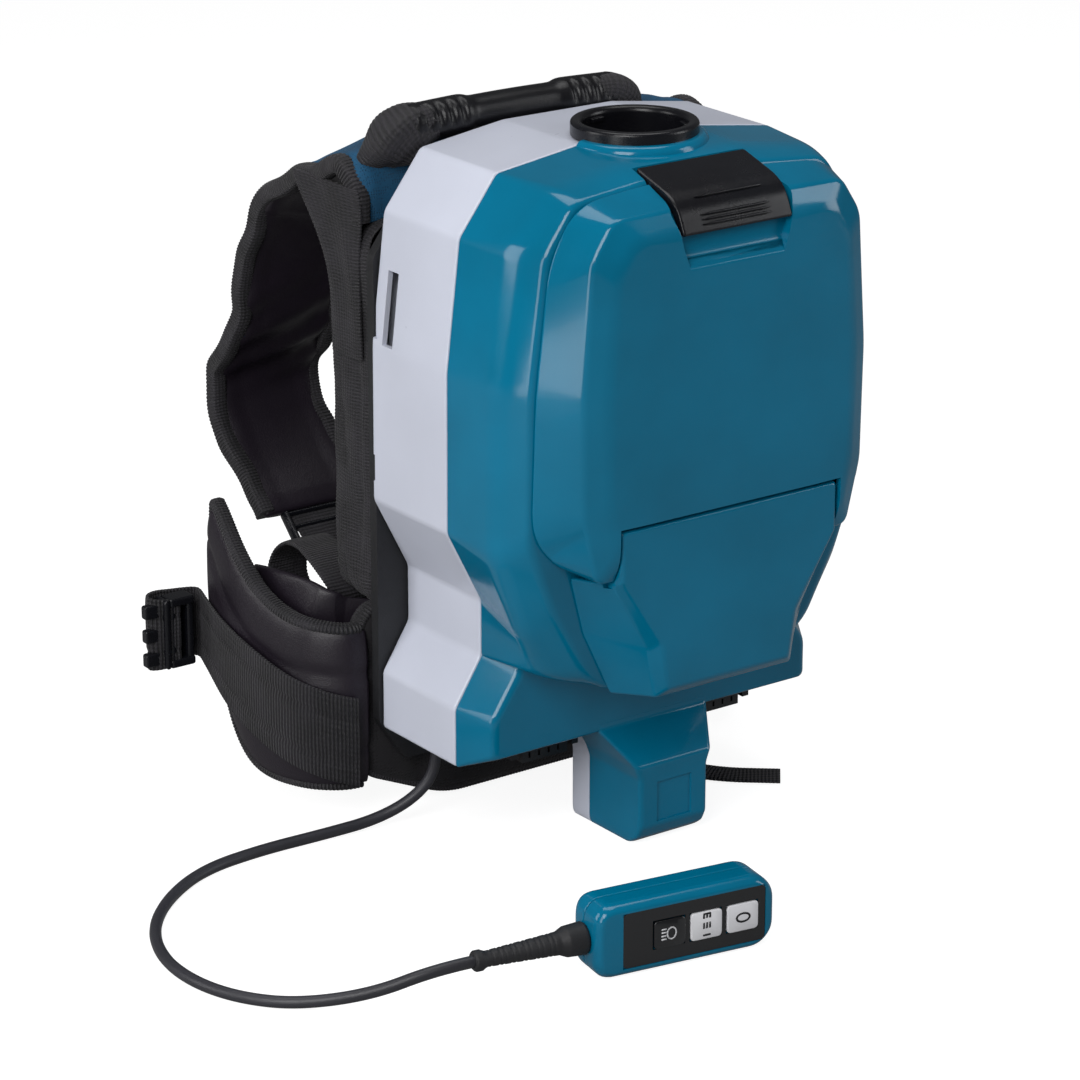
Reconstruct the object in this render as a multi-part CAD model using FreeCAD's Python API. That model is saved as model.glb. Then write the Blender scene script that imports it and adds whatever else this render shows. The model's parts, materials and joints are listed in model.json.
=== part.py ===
import FreeCAD, Part
import math
import os

# Backpack vacuum cleaner with its harness and corded remote control.
# Millimetres. X to the machine's own left, Y towards the wearer, Z up. X = 0 is the symmetry
# plane, Y = 0 the parting plane and hose socket axis, Z = 0 the floor under the stand leg.

Vector = FreeCAD.Vector
UP = Vector(0, 0, 1)

# Driving dimensions of the housing
wall = 3.0
gap = 0.5
body_half = 114.5
shoulder_half = 106.0
waist_half = 94.5
hip_half = 110.4
top_z = 365.0
base_z = 54.6
rear_y = 65.5
front_y = -55.0
base_front_y = -19.6
chin_z = 100.0
waist_z = 125.0
deck_z = 167.0

# Lid, lower cover and latch
lid_front_y = -82.0
notch_half = 68.8
notch_z = 195.5
cover_gap = 0.8
mouth_half = 84.0
mouth_low_z = 200.0
mouth_high_z = top_z - 29.0
seal_width = 3.0
seal_depth = 1.5
hinge_y = -73.0
hinge_z = 170.0
hinge_pin_radius = 1.5
latch_half = 33.5
latch_pin_y = -61.5
latch_pin_z = top_z - 14.0
latch_pin_radius = 1.5
latch_boss_radius = 3.2
running_clearance = 0.05

# Stand leg
leg_half = 21.8
leg_front_y = -38.0
leg_rear_y = 22.0
leg_split_y = 6.0
leg_wall = 2.8
foot_radius = 11.0

# Hose socket and dust bag
socket_top_z = top_z + 8.0
socket_radius = 32.0
socket_bore = 26.0
socket_neck = 29.5
socket_low_z = top_z - 21.0
collar_half = 40.0
collar_z = top_z - 26.0
collar_thick = 3.0
rail_thick = 2.6
bag_half = 76.0

# Filter, fan and motor
filter_half = 80.0
motor_y = 18.0
fan_radius = 36.0
shroud_radius = 40.0
motor_radius = 30.0
rotor_radius = 15.0
shaft_radius = 4.0
bearing_radius = 11.0
motor_low_z = 68.0
motor_high_z = 128.0
fan_low_z = 131.0

# Harness
plate_thick = 6.0
plate_half = 112.0
plate_top_z = top_z - 27.0
pad_half = 104.0
pad_thick = 28.0
lumbar_half = 119.0
lumbar_thick = 20.0
strap_inner_x = 47.0
strap_outer_x = 112.0
strap_thick = 10.0
wing_thick = 14.0
webbing_thick = 2.0
grip_radius = 10.0
grip_z = top_z + 2.0
grip_y = 77.0
grip_left_x = -84.0
grip_right_x = 44.0
soft_gap = 0.4
plate_rear_y = rear_y + 0.2 + plate_thick
pad_high_z = top_z - 51.0
pad_low_z = 122.0

# Remote control, lying on its long edge and turned about Z
remote_length = 98.0
remote_depth = 27.0
remote_height = 38.0
remote_center = Vector(-83.5, -146.1, 0)
remote_turn = -9.07
key_travel = 1.0
key_width = 17.6
key_height = 15.0

# Cord: hand-chosen route from the gland to the strain relief
cord_radius = 3.0
cord_route = [
    (-86.0, 52.0, 44.6), (-86.0, 52.0, 30.0), (-96.0, 57.0, 15.0), (-116.0, 64.0, 5.0),
    (-146.0, 68.0, 3.0), (-183.0, 70.0, 3.0), (-220.0, 66.0, 3.0), (-252.0, 47.0, 3.0),
    (-277.0, 20.0, 3.0), (-290.0, -12.0, 3.0), (-291.0, -43.0, 3.0), (-282.0, -70.0, 3.0),
    (-264.0, -92.0, 3.5), (-236.0, -112.0, 8.5), (-209.85, -125.85, 19.0), (-190.1, -129.0, 19.0),
]

parts = {}


def box(x, y, z):
    """Box between the pairs x, y and z."""
    return Part.makeBox(x[1] - x[0], y[1] - y[0], z[1] - z[0], Vector(x[0], y[0], z[0]))


def rod(radius, start, end):
    """Round bar between two points."""
    a = Vector(*start)
    run = Vector(*end) - a
    return Part.makeCylinder(radius, run.Length, a, run)


def ring(outer, inner, start, end):
    """Tube between two points."""
    return rod(outer, start, end).cut(rod(inner, start, end))


def fused(shapes):
    """One solid from overlapping shapes."""
    shapes = list(shapes)
    return shapes[0].multiFuse(shapes[1:]).removeSplitter()


def both_sides(shape):
    """The shape and its mirror image across X = 0, as one compound."""
    return Part.makeCompound([shape, mirrored_shape(shape)])


def mirrored_shape(shape):
    return shape.mirror(Vector(0, 0, 0), Vector(1, 0, 0))


def corner(before, point, after, radius):
    """Tangent points and middle of the arc that rounds one corner, or None when it is straight."""
    back = (before - point).normalize()
    ahead = (after - point).normalize()
    turn = math.pi - back.getAngle(ahead)
    if radius <= 0 or turn < 1e-4:
        return None
    reach = radius * math.tan(turn / 2)
    bisector = (back + ahead).normalize()
    middle = point + bisector * (radius / math.cos(turn / 2) - radius)
    return point + back * reach, middle, point + ahead * reach


def rounded_wire(points, radii, closed=True):
    """Wire of straight runs joined by tangent arcs, with one radius for each point."""
    points = [Vector(*p) for p in points]
    count = len(points)
    corners = []
    for i, point in enumerate(points):
        inside = closed or 0 < i < count - 1
        arc = corner(points[i - 1], point, points[(i + 1) % count], radii[i]) if inside else None
        corners.append(arc or (point, None, point))
    edges = []
    for i, (start, middle, end) in enumerate(corners):
        if middle is not None:
            edges.append(Part.Arc(start, middle, end).toShape())
        if closed or i < count - 1:
            following = corners[(i + 1) % count][0]
            if (following - end).Length > 1e-5:
                edges.append(Part.LineSegment(end, following).toShape())
    return Part.Wire(edges)


def outline_face(outline, plane, level, radius=0.0):
    """Flat face of a 2D outline: plane names its two axes, level is the third coordinate."""
    place = {"xz": lambda a, b: (a, level, b), "yz": lambda a, b: (level, a, b),
             "xy": lambda a, b: (a, b, level)}[plane]
    points = [place(a, b) for a, b in outline]
    radii = radius if isinstance(radius, (list, tuple)) else [radius] * len(points)
    return Part.Face(rounded_wire(points, radii))


def prism(outline, plane, start, end, radius=0.0):
    """Solid of a 2D outline carried from start to end along the plane's normal."""
    along = {"xz": Vector(0, 1, 0), "yz": Vector(1, 0, 0), "xy": Vector(0, 0, 1)}[plane]
    return outline_face(outline, plane, start, radius).extrude(along * (end - start))


def inset(outline, distance):
    """Outline moved inwards by a distance, with mitred corners."""
    count = len(outline)
    area = sum(outline[i - 1][0] * outline[i][1] - outline[i][0] * outline[i - 1][1] for i in range(count))
    side = distance if area > 0 else -distance
    moved = []
    for i in range(count):
        a, b, c = outline[i - 1], outline[i], outline[(i + 1) % count]
        u = Vector(b[0] - a[0], b[1] - a[1], 0).normalize()
        v = Vector(c[0] - b[0], c[1] - b[1], 0).normalize()
        stretch = side / (1 + u.dot(v))
        moved.append((b[0] - (u.y + v.y) * stretch, b[1] + (u.x + v.x) * stretch))
    return moved


def whole(half):
    """Closed outline from its right half, listed from the top down."""
    return half + [(-x, z) for x, z in reversed(half)]


def loft(sections):
    """Ruled solid through outlines in XZ, given as (y, outline)."""
    wires = [outline_face(outline, "xz", y).OuterWire for y, outline in sections]
    return Part.makeLoft(wires, True, True)


def band(path, thickness):
    """Outline of a strip that follows a 2D path."""
    half = thickness / 2
    sides = ([], [])
    for i, (a, b) in enumerate(path):
        before = path[max(i - 1, 0)]
        after = path[min(i + 1, len(path) - 1)]
        u = Vector(a - before[0], b - before[1], 0) if i else Vector(after[0] - a, after[1] - b, 0)
        v = Vector(after[0] - a, after[1] - b, 0) if i < len(path) - 1 else u
        u.normalize()
        v.normalize()
        stretch = half / (1 + u.dot(v))
        shift = Vector(-(u.y + v.y), u.x + v.x, 0) * stretch
        sides[0].append((a + shift.x, b + shift.y))
        sides[1].append((a - shift.x, b - shift.y))
    return sides[0] + sides[1][::-1]


def revolved(profile, center):
    """Solid of revolution about a vertical axis from an (r, z) profile."""
    x, y = center
    points = [(x + r, y, z) for r, z in profile]
    face = Part.Face(rounded_wire(points, [0] * len(points)))
    return face.revolve(Vector(x, y, 0), UP, 360)


def at_remote(shape):
    """Place a shape drawn in the remote's own frame: X along it, Y through it, Z up."""
    placed = shape.copy()
    placed.rotate(Vector(0, 0, 0), UP, remote_turn)
    placed.translate(remote_center)
    return placed


# Outlines of the housing, each a right half from the top down
def parting_half():
    return [(34, top_z), (84, top_z - 7), (shoulder_half, top_z - 36), (body_half - 0.5, 262),
            (body_half, 180), (waist_half, waist_z + 16), (waist_half, waist_z - 14),
            (hip_half, 86), (hip_half, base_z)]


def bowl_halves():
    """Upper front housing at the parting plane, at the bulge and at the lid seam."""
    at_parting = parting_half()[:7] + [(60, chin_z)]
    at_bulge = [(34, top_z - 2), (80, top_z - 8), (shoulder_half - 5, top_z - 34), (body_half - 2.5, 262),
                (body_half - 0.5, 176), (waist_half + 4.5, waist_z + 8), (83, 108), (56, chin_z)]
    at_seam = [(34, top_z - 7.5), (77, top_z - 11.5), (shoulder_half - 12.5, top_z - 36),
               (body_half - 12.5, 262), (body_half - 10.5, 188), (waist_half - 4.5, waist_z + 25),
               (70, 112), (54, chin_z)]
    return at_parting, at_bulge, at_seam


def base_halves():
    at_parting = [(waist_half - 4, 120), (waist_half, waist_z - 14), (hip_half, 86), (hip_half, base_z)]
    at_front = [(waist_half - 14, 112), (waist_half - 10, 104), (hip_half - 10.6, 82),
                (hip_half - 10.6, base_z + 7.4)]
    return at_parting, at_front


def lid_halves():
    at_seam = [(34, top_z - 8), (77, top_z - 12), (shoulder_half - 13, top_z - 37),
               (body_half - 13.5, 262), (body_half - 11, 190), (82, deck_z)]
    at_crease = [(34, top_z - 16), (70, top_z - 17), (shoulder_half - 24, top_z - 35),
                 (body_half - 27.5, 262), (body_half - 28.5, 200), (78, deck_z)]
    at_face = [(30, top_z - 27), (60, top_z - 27), (71, top_z - 43), (76, 262), (75, 208), (70, 180)]
    return at_seam, at_crease, at_face


def leg_outlines():
    across = whole([(36, 64), (26, 48), (leg_half, 38), (leg_half, 0)])
    along = [(leg_front_y, 0), (leg_front_y, 45), (base_front_y, 63), (base_front_y + 8, 64),
             (leg_rear_y, 64), (leg_rear_y, 0)]
    return across, along


def leg_block(shrink):
    """Stand leg as the common part of its front and side outlines."""
    across, along = leg_outlines()
    if shrink:
        across = [(x, z if z < 60 else 66) for x, z in inset(across, shrink)]
        along = [(y, z if z < 60 else 66) for y, z in inset(along, shrink)]
    front = prism(across, "xz", leg_front_y - 1, leg_rear_y + 1)
    radii = [max(foot_radius - shrink, 1)] + [0] * (len(along) - 1)
    return front.common(prism(along, "yz", -40, 40, radii))


screw_places = [(body_half - 7.5, 245), (body_half - 8.0, 195), (hip_half - 8.0, 74)]
screw_radius = 1.5
screw_head_radius = 3.0
screw_boss_radius = 4.8
screw_front_y = -16.0


def latch_pocket():
    """Hollow that the latch lies and swings in, cut from the lid and the front housing."""
    profile = [(-41, 5), (-41, -11.8), (-57.8, -11.8), (-57.8, -17.8), (-65.4, -17.8), (-68.4, -15.4),
               (-74.4, -20.7), (-78.9, -30.6), (-77.2, -35), (-77.6, -43), (-95, -49), (-95, 5)]
    outline = [(y, top_z + rise) for y, rise in profile]
    return prism(outline, "yz", -latch_half - gap, latch_half + gap)


def make_rear_shell():
    outline = whole(parting_half())
    shell = prism(outline, "xz", 0, rear_y).cut(prism(inset(outline, wall), "xz", 0, rear_y - wall))
    leg = leg_block(0).common(box((-60, 60), (leg_split_y, leg_rear_y), (0, base_z + 1)))
    adds = [shell, leg]
    for x, z in screw_places:
        for side in (-1, 1):
            adds.append(rod(screw_boss_radius, (side * x, 0, z), (side * x, rear_y - wall / 2, z)))
    rail_low = collar_z - soft_gap
    for side in (-1, 1):
        ledge = sorted((side * (collar_half - 2), side * (collar_half + 4)))
        guide = sorted((side * (collar_half + soft_gap), side * (collar_half + 4)))
        adds.append(box(ledge, (-35, rear_y - wall / 2), (rail_low - rail_thick, rail_low)))
        adds.append(box(guide, (-35, rear_y - wall / 2), (rail_low - rail_thick, rail_low + 7)))
    for y in (8, 50):
        adds.append(box((-92, -40), (y, y + 3), (base_z + wall / 2, base_z + wall + 3)))
    shell = fused(adds)
    cuts = [rod(socket_neck + gap, (0, 0, 340), (0, 0, 380)),
            leg_block(leg_wall).common(box((-60, 60), (leg_split_y - 5, leg_rear_y), (0, 80)))]
    for x, z in screw_places:
        for side in (-1, 1):
            cuts.append(rod(screw_radius, (side * x, -1, z), (side * x, rear_y, z)))
            cuts.append(rod(screw_head_radius, (side * x, rear_y - 2.4, z), (side * x, rear_y + 1, z)))
    for side in (-1, 1):
        flank = sorted((side * (body_half - 8), side * (body_half + 5)))
        edge = sorted((side * (body_half - 3.5), side * (body_half + 5)))
        cuts.append(box(flank, (47, 56), (top_z - 102, top_z - 64)))
        cuts.append(box(edge, (60.5, rear_y + 1), (top_z - 100, top_z - 65)))
        cuts.append(box(edge, (63.0, rear_y + 1), (190, 204)))
    for x, z in plate_screw_places:
        cuts.append(rod(screw_radius, (x, rear_y - 12, z), (x, rear_y + 1, z)))
    return shell.cut(fused_cutters(cuts))


def fused_cutters(cuts):
    return cuts[0].multiFuse(cuts[1:])


plate_screw_places = [(-88, top_z - 65), (88, top_z - 65), (-88, 200), (88, 200), (-80, 70), (80, 70)]


def make_front_housing():
    at_parting, at_bulge, at_seam = [whole(half) for half in bowl_halves()]
    bowl = loft([(0, at_parting), (-40, at_bulge), (front_y, at_seam)])
    hollow = loft([(0, inset(at_parting, wall)), (-40, inset(at_bulge, wall)),
                   (front_y + wall, inset(at_seam, wall + 0.5))])
    base_parting, base_front = [whole(half) for half in base_halves()]
    base = loft([(0, base_parting), (base_front_y, base_front)])
    base_hollow = loft([(0, inset(base_parting, wall)), (base_front_y + wall, inset(base_front, wall))])
    leg = leg_block(0)
    leg_front = fused([leg.common(box((-60, 60), (-60, 0), (0, 70))),
                       leg.common(box((-60, 60), (-1, leg_split_y), (0, base_z)))])
    bosses = []
    bores = []
    for x, z in screw_places:
        for side in (-1, 1):
            bosses.append(rod(screw_boss_radius, (side * x, 0, z), (side * x, screw_front_y - 1, z)))
            bores.append(rod(screw_radius, (side * x, 1, z), (side * x, screw_front_y, z)))
    body = fused([bowl, base])
    shell = body.cut(hollow).cut(base_hollow)
    pocket_block = box((-latch_half - 4, latch_half + 4), (front_y, -38), (top_z - 15.5, top_z - 3)).common(body)
    shell = fused([shell, pocket_block] + [boss.common(body) for boss in bosses] + [leg_front])
    mouth = prism(mouth_corners(), "xz", front_y - 1, front_y + wall + 1, 12)
    recess = box((-11, 11), (leg_front_y - 1, leg_front_y + 0.8), (13, 35))
    cuts = [mouth, seal_ring(), latch_pocket(), leg_block(leg_wall), recess,
            rod(socket_neck + gap, (0, 0, 340), (0, 0, 380))] + bores
    return shell.cut(fused_cutters(cuts))


def mouth_corners():
    return [(-mouth_half, mouth_low_z), (mouth_half, mouth_low_z), (mouth_half, mouth_high_z),
            (-mouth_half, mouth_high_z)]


def seal_ring():
    """Ring round the mouth, set into the front wall and standing proud towards the lid."""
    corners = mouth_corners()
    outer = prism(inset(corners, -1.5 - seal_width), "xz", front_y - 0.3, front_y + seal_depth, 16)
    inner = prism(inset(corners, -1.5), "xz", front_y - 1, front_y + seal_depth + 1, 13)
    return outer.cut(inner)


def make_lid():
    at_seam, at_crease, at_face = [whole(half) for half in lid_halves()]
    rear = front_y - gap
    outer = loft([(rear, at_seam), (-76, at_crease), (lid_front_y, at_face)])
    hollow = loft([(rear, inset(at_seam, wall)), (-73.5, inset(at_crease, wall)),
                   (lid_front_y + wall, inset(at_face, wall))])
    notch = box((-notch_half, notch_half), (-100, 0), (150, notch_z))
    solid_zone = fused_cutters([box((-notch_half - wall, notch_half + wall), (-100, 0), (150, notch_z + wall)),
                                box((-120, 120), (-100, 0), (150, 184)),
                                box((-latch_half - 5, latch_half + 5), (-100, 0), (top_z - 53, top_z + 5))])
    corners = mouth_corners()
    rib = prism(inset(corners, -1.7 - seal_width), "xz", rear, -79.5, 16).cut(
        prism(inset(corners, 0.3 - seal_width), "xz", rear - 30, -50, 14))
    lid = outer.cut(hollow.cut(solid_zone)).fuse(rib.common(outer)).cut(notch).cut(latch_pocket())
    pin_bores = both_sides(rod(hinge_pin_radius + running_clearance, (notch_half - 1, hinge_y, hinge_z),
                               (notch_half + 9, hinge_y, hinge_z)))
    latch_bore = rod(latch_pin_radius, (-latch_half - 4, latch_pin_y, latch_pin_z),
                     (latch_half + 4, latch_pin_y, latch_pin_z))
    return lid.cut(pin_bores).cut(latch_bore)


def cover_halves():
    half = notch_half - cover_gap
    top = notch_z - 1.5
    shelf = deck_z - 1
    at_seam = [(half, top), (half, shelf), (80, shelf - 0.2), (72, 135), (55, chin_z - 0.5)]
    at_crease = [(half, top), (half, shelf), (half + 1, shelf - 0.2), (47, 127), (43, chin_z + 1)]
    at_face = [(half - 8, top - 6), (half - 8, shelf + 2), (half - 7.5, shelf + 1), (41, 130), (37, 105)]
    return at_seam, at_crease, at_face


def make_lower_cover():
    at_seam, at_crease, at_face = [whole(half) for half in cover_halves()]
    half_width = notch_half - cover_gap
    rear = front_y - 0.3
    outer = loft([(rear, at_seam), (-75, at_crease), (-79, at_face)])
    core = [(x * 0.93, z) for x, z in whole([(60, notch_z - 5), (60, 160), (46, 134), (42, chin_z + 4)])]
    hollow = prism(core, "xz", rear + 0.1, -74.5)
    bosses = both_sides(rod(4.0, (54, hinge_y, hinge_z), (notch_half - cover_gap - 1, hinge_y, hinge_z)))
    bores = both_sides(rod(hinge_pin_radius, (56, hinge_y, hinge_z), (notch_half + 5, hinge_y, hinge_z)))
    swing_room = both_sides(box((half_width - 0.1, half_width + 10), (-90, -63), (deck_z - 17, deck_z)))
    cover = fused([outer.cut(hollow)] + [boss.common(outer) for boss in bosses.Solids])
    return cover.cut(bores).cut(swing_room)


def make_hinge_pins():
    return both_sides(rod(hinge_pin_radius, (56, hinge_y, hinge_z), (notch_half + 8, hinge_y, hinge_z)))


def make_latch():
    profile = [(-44.5, -2.8), (-70, -10.4), (-78, -16.5), (-83.5, -28.5), (-80.2, -29.6), (-75, -19.6),
               (-68.2, -14.4), (-44.5, -7)]
    outline = [(y, top_z + rise) for y, rise in profile]
    plate = prism(outline, "yz", -latch_half, latch_half, [1, 4, 4, 1, 1, 3, 3, 1])
    boss = rod(latch_boss_radius, (-20, latch_pin_y, latch_pin_z), (20, latch_pin_y, latch_pin_z))
    grooves = [box((-20, 20), (-90, -80.9 - i * 0.95), (top_z - 21.8 - i * 2.2, top_z - 20.8 - i * 2.2))
               for i in range(3)]
    bore = rod(latch_pin_radius + running_clearance, (-latch_half - 1, latch_pin_y, latch_pin_z),
               (latch_half + 1, latch_pin_y, latch_pin_z))
    spring_room = both_sides(rod(latch_boss_radius, (20.6, latch_pin_y, latch_pin_z), (30, latch_pin_y, latch_pin_z)))
    return fused([plate, boss]).cut(fused_cutters(grooves + [bore, spring_room]))


def make_latch_pin():
    return rod(latch_pin_radius, (-latch_half - 4, latch_pin_y, latch_pin_z),
               (latch_half + 4, latch_pin_y, latch_pin_z))


def make_latch_spring():
    """Torsion spring coiled round the latch pin, beside the latch's boss."""
    wire_radius = 0.4
    coil_radius = latch_pin_radius + wire_radius + 0.2
    helix = Part.makeHelix(1.0, 7.0, coil_radius)
    section = Part.Wire(Part.makeCircle(wire_radius, Vector(coil_radius, 0, 0), Vector(0, 1, 0)))
    coil = Part.Wire(helix).makePipeShell([section], True, True)
    coil.rotate(Vector(0, 0, 0), Vector(0, 1, 0), 90)
    coil.translate(Vector(21.5, latch_pin_y, latch_pin_z))
    return coil


def make_hose_socket():
    low = socket_low_z
    profile = [(socket_bore, low + 4), (socket_bore, socket_top_z - 1.5), (socket_bore + 1.5, socket_top_z),
               (socket_radius - 1, socket_top_z), (socket_radius, socket_top_z - 1),
               (socket_radius, top_z + 0.2), (socket_neck, top_z + 0.2), (socket_neck, low),
               (socket_bore - 3, low), (socket_bore - 3, low + 4)]
    return revolved(profile, (0, 0))


def make_socket_seal():
    return ring(socket_bore - 3.2, socket_bore - 6, (0, 0, socket_low_z), (0, 0, socket_low_z + 3))


def make_dust_bag():
    """Folded bag with a short neck up to its card collar."""
    high = collar_z - rail_thick - 2 * soft_gap
    corners = [(-bag_half, 188), (bag_half, 188), (bag_half, high - 16), (40, high), (-40, high),
               (-bag_half, high - 16)]
    neck = rod(socket_bore - 1, (0, 16, high - 2), (0, 16, collar_z - soft_gap))
    return fused([prism(corners, "xz", -8, 48, 14), neck])


def make_bag_collar():
    plate = box((-collar_half, collar_half), (-33, 36), (collar_z, collar_z + collar_thick))
    return plate.cut(rod(socket_bore - 4, (0, 0, collar_z - 1), (0, 0, collar_z + 10)))


def make_filter_frame():
    y = (front_y + wall + 7, rear_y - wall - 6)
    outer = box((-filter_half, filter_half), y, (deck_z + 3, deck_z + 17))
    inner = box((-filter_half + 4, filter_half - 4), (y[0] + 4, y[1] - 4), (deck_z, deck_z + 20))
    return outer.cut(inner)


def make_filter_pleats():
    """Folded filter paper: a zigzag strip with one fold for each pitch."""
    half = filter_half - 4.4
    folds = 24
    pitch = 2 * half / folds
    path = [(-half + i * pitch, deck_z + (4.5 if i % 2 else 15.5)) for i in range(folds + 1)]
    y = (front_y + wall + 11.4, rear_y - wall - 10.4)
    path[0] = (path[0][0] + 0.6, path[0][1])
    path[-1] = (path[-1][0] - 0.6, path[-1][1])
    return prism(band(path, 1.0), "xz", y[0], y[1])


def make_bulkhead():
    y = (front_y + wall + 0.3, rear_y - wall - 0.3)
    plate = box((-waist_half + 2, waist_half - 2), y, (deck_z - 1, deck_z + 2.6))
    return plate.cut(rod(28, (0, motor_y, 150), (0, motor_y, 200)))


def make_motor_mounts():
    top = ring(shroud_radius - 1, 30, (0, motor_y, deck_z - 4.6), (0, motor_y, deck_z - 1.2))
    low = ring(20, 13, (0, motor_y, base_z + wall + 0.3), (0, motor_y, motor_low_z - 0.2))
    return Part.makeCompound([top, low])


def make_fan_shroud():
    low = fan_low_z
    top = deck_z - 4.8
    profile = [(bearing_radius + 0.5, low), (shroud_radius, low), (shroud_radius, top), (24, top),
               (24, top - 2), (shroud_radius - 2, top - 2), (shroud_radius - 2, low + 2.5),
               (bearing_radius + 0.5, low + 2.5)]
    shroud = revolved(profile, (0, motor_y))
    for i in range(8):
        angle = math.radians(45 * i)
        spot = (math.cos(angle), math.sin(angle))
        port = rod(4, (spot[0] * 30, motor_y + spot[1] * 30, low + 14),
                   (spot[0] * 50, motor_y + spot[1] * 50, low + 14))
        shroud = shroud.cut(port)
    return shroud


def make_impeller():
    """Back plate with a hub and swept blades."""
    low = fan_low_z + 4.5
    hub = ring(9, shaft_radius, (0, motor_y, low), (0, motor_y, low + 20))
    disc = ring(fan_radius, shaft_radius, (0, motor_y, low), (0, motor_y, low + 1.6))
    blades = []
    for i in range(9):
        blade = prism([(7, -1), (20, 3.5), (fan_radius - 4, 13), (fan_radius - 4, 14.5), (19, 5), (7, 0.6)],
                      "xy", low + 1, low + 16)
        blade.rotate(Vector(0, 0, 0), UP, 40 * i)
        blade.translate(Vector(0, motor_y, 0))
        blades.append(blade)
    return fused([hub, disc] + blades).cut(rod(shaft_radius, (0, motor_y, 0), (0, motor_y, 200)))


def make_motor_housing():
    low, high = motor_low_z, motor_high_z
    inner = motor_radius - 3
    profile = [(bearing_radius, low), (motor_radius, low), (motor_radius, high), (bearing_radius, high),
               (bearing_radius, high - 3), (inner, high - 3), (inner, low + 3), (bearing_radius, low + 3)]
    return revolved(profile, (0, motor_y))


def make_bearings():
    thick = 5
    spots = (motor_low_z, motor_high_z - thick)
    return Part.makeCompound([ring(bearing_radius, shaft_radius + running_clearance, (0, motor_y, z),
                                   (0, motor_y, z + thick))
                              for z in spots])


def make_stator():
    low, high = motor_low_z + 12, motor_high_z - 12
    yoke = ring(motor_radius - 3.1, motor_radius - 7, (0, motor_y, low), (0, motor_y, high))
    teeth = []
    for i in range(6):
        tooth = box((rotor_radius + 0.6, motor_radius - 5), (-3, 3), (low + 4, high - 4))
        coil = box((rotor_radius + 2.5, motor_radius - 7.5), (-5.5, 5.5), (low + 1, high - 1))
        for piece in (tooth, coil):
            piece.rotate(Vector(0, 0, 0), UP, 60 * i)
            piece.translate(Vector(0, motor_y, 0))
            teeth.append(piece)
    return fused([yoke] + teeth)


def make_rotor():
    magnet = rod(rotor_radius, (0, motor_y, motor_low_z + 13), (0, motor_y, motor_high_z - 13))
    shaft = rod(shaft_radius, (0, motor_y, motor_low_z), (0, motor_y, fan_low_z + 25))
    return fused([magnet, shaft])


def make_control_board():
    low = base_z + wall + 3.2
    board = box((-91, -40), (8, 53), (low, low + 1.6))
    chips = [box((-84, -66), (14, 30), (low + 1.6, low + 5)), box((-60, -46), (14, 26), (low + 1.6, low + 12)),
             box((-84, -70), (36, 48), (low + 1.6, low + 9)), rod(6, (-53, 42, low + 1.6), (-53, 42, low + 20))]
    return fused([board] + chips)


def make_battery_terminals():
    """Slide rails and contact block under each battery bay's roof."""
    block = box((42, 70), (-2, 30), (base_z - 7, base_z - 0.2))
    slots = [box((x, x + 1.2), (-3, 18), (base_z - 5, base_z - 2)) for x in (47, 53, 59, 65)]
    rails = [box((x, x + 4), (-2, 40), (base_z - 4, base_z - 0.2)) for x in (35, 73)]
    bridge = box((35, 77), (26, 32), (base_z - 3, base_z - 0.2))
    return both_sides(fused([block, bridge] + rails).cut(fused_cutters(slots)))


def screw(x, z, head_y, tip_y, head_thick):
    """Pan-head screw along Y with a cross recess."""
    shank = rod(screw_radius - running_clearance, (x, head_y - 0.5, z), (x, tip_y, z))
    head = rod(screw_head_radius - 0.2, (x, head_y - head_thick, z), (x, head_y, z))
    recess = [box((x - 1.5, x + 1.5), (head_y - 1, head_y + 1), (z - 0.3, z + 0.3)),
              box((x - 0.3, x + 0.3), (head_y - 1, head_y + 1), (z - 1.5, z + 1.5))]
    return fused([shank, head]).cut(fused_cutters(recess))


def make_housing_screws():
    return Part.makeCompound([screw(side * x, z, rear_y - 0.2, screw_front_y + 1, 2.2)
                              for x, z in screw_places for side in (-1, 1)])


def plate_outline():
    return whole([(88, plate_top_z), (plate_half, top_z - 60), (plate_half, 58), (96, 34)])


def make_back_plate():
    plate = prism(plate_outline(), "xz", plate_rear_y - plate_thick, plate_rear_y, 6)
    ribs = [box((-70, 70), (rear_y - 1, rear_y + 2.2), (z, z + 60)) for z in (90, 160, 230)]
    cuts = [rod(screw_radius, (x, rear_y - 1, z), (x, rear_y + 9, z)) for x, z in plate_screw_places]
    heads = [rod(screw_head_radius, (x, rear_y + plate_thick - 2.2, z), (x, rear_y + 9, z))
             for x, z in plate_screw_places]
    return plate.cut(fused_cutters(cuts + heads + ribs))


def make_plate_screws():
    return Part.makeCompound([screw(x, z, rear_y + plate_thick, rear_y - 11, 2.0)
                              for x, z in plate_screw_places])


def make_back_pad():
    low, high = pad_low_z, pad_high_z
    start = plate_rear_y + soft_gap
    outline = whole([(pad_half - 16, high), (pad_half, high - 24), (pad_half, low + 14), (pad_half - 10, low)])
    return prism(outline, "xz", start, start + pad_thick, 8)


def make_lumbar_pad():
    start = plate_rear_y + soft_gap
    outline = whole([(lumbar_half - 12, 120), (lumbar_half, 108), (lumbar_half, 24), (64, 0)])
    return prism(outline, "xz", start, start + lumbar_thick, 6)


# Shoulder strap's path in the YZ plane, from the back plate over the shoulder to its lower end
strap_root_y = plate_rear_y + soft_gap + 3.8 + soft_gap + strap_thick / 2
strap_path = [(strap_root_y, top_z - 46), (strap_root_y + 0.8, top_z - 27), (98, top_z - 19), (136, top_z - 38),
              (168, top_z - 59), (186, top_z - 91), (197, top_z - 129), (221, top_z - 167), (208, top_z - 193),
              (186, top_z - 219)]
strap_bends = [3, 4, 10, 24, 24, 24, 20, 8, 10, 3]


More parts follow.
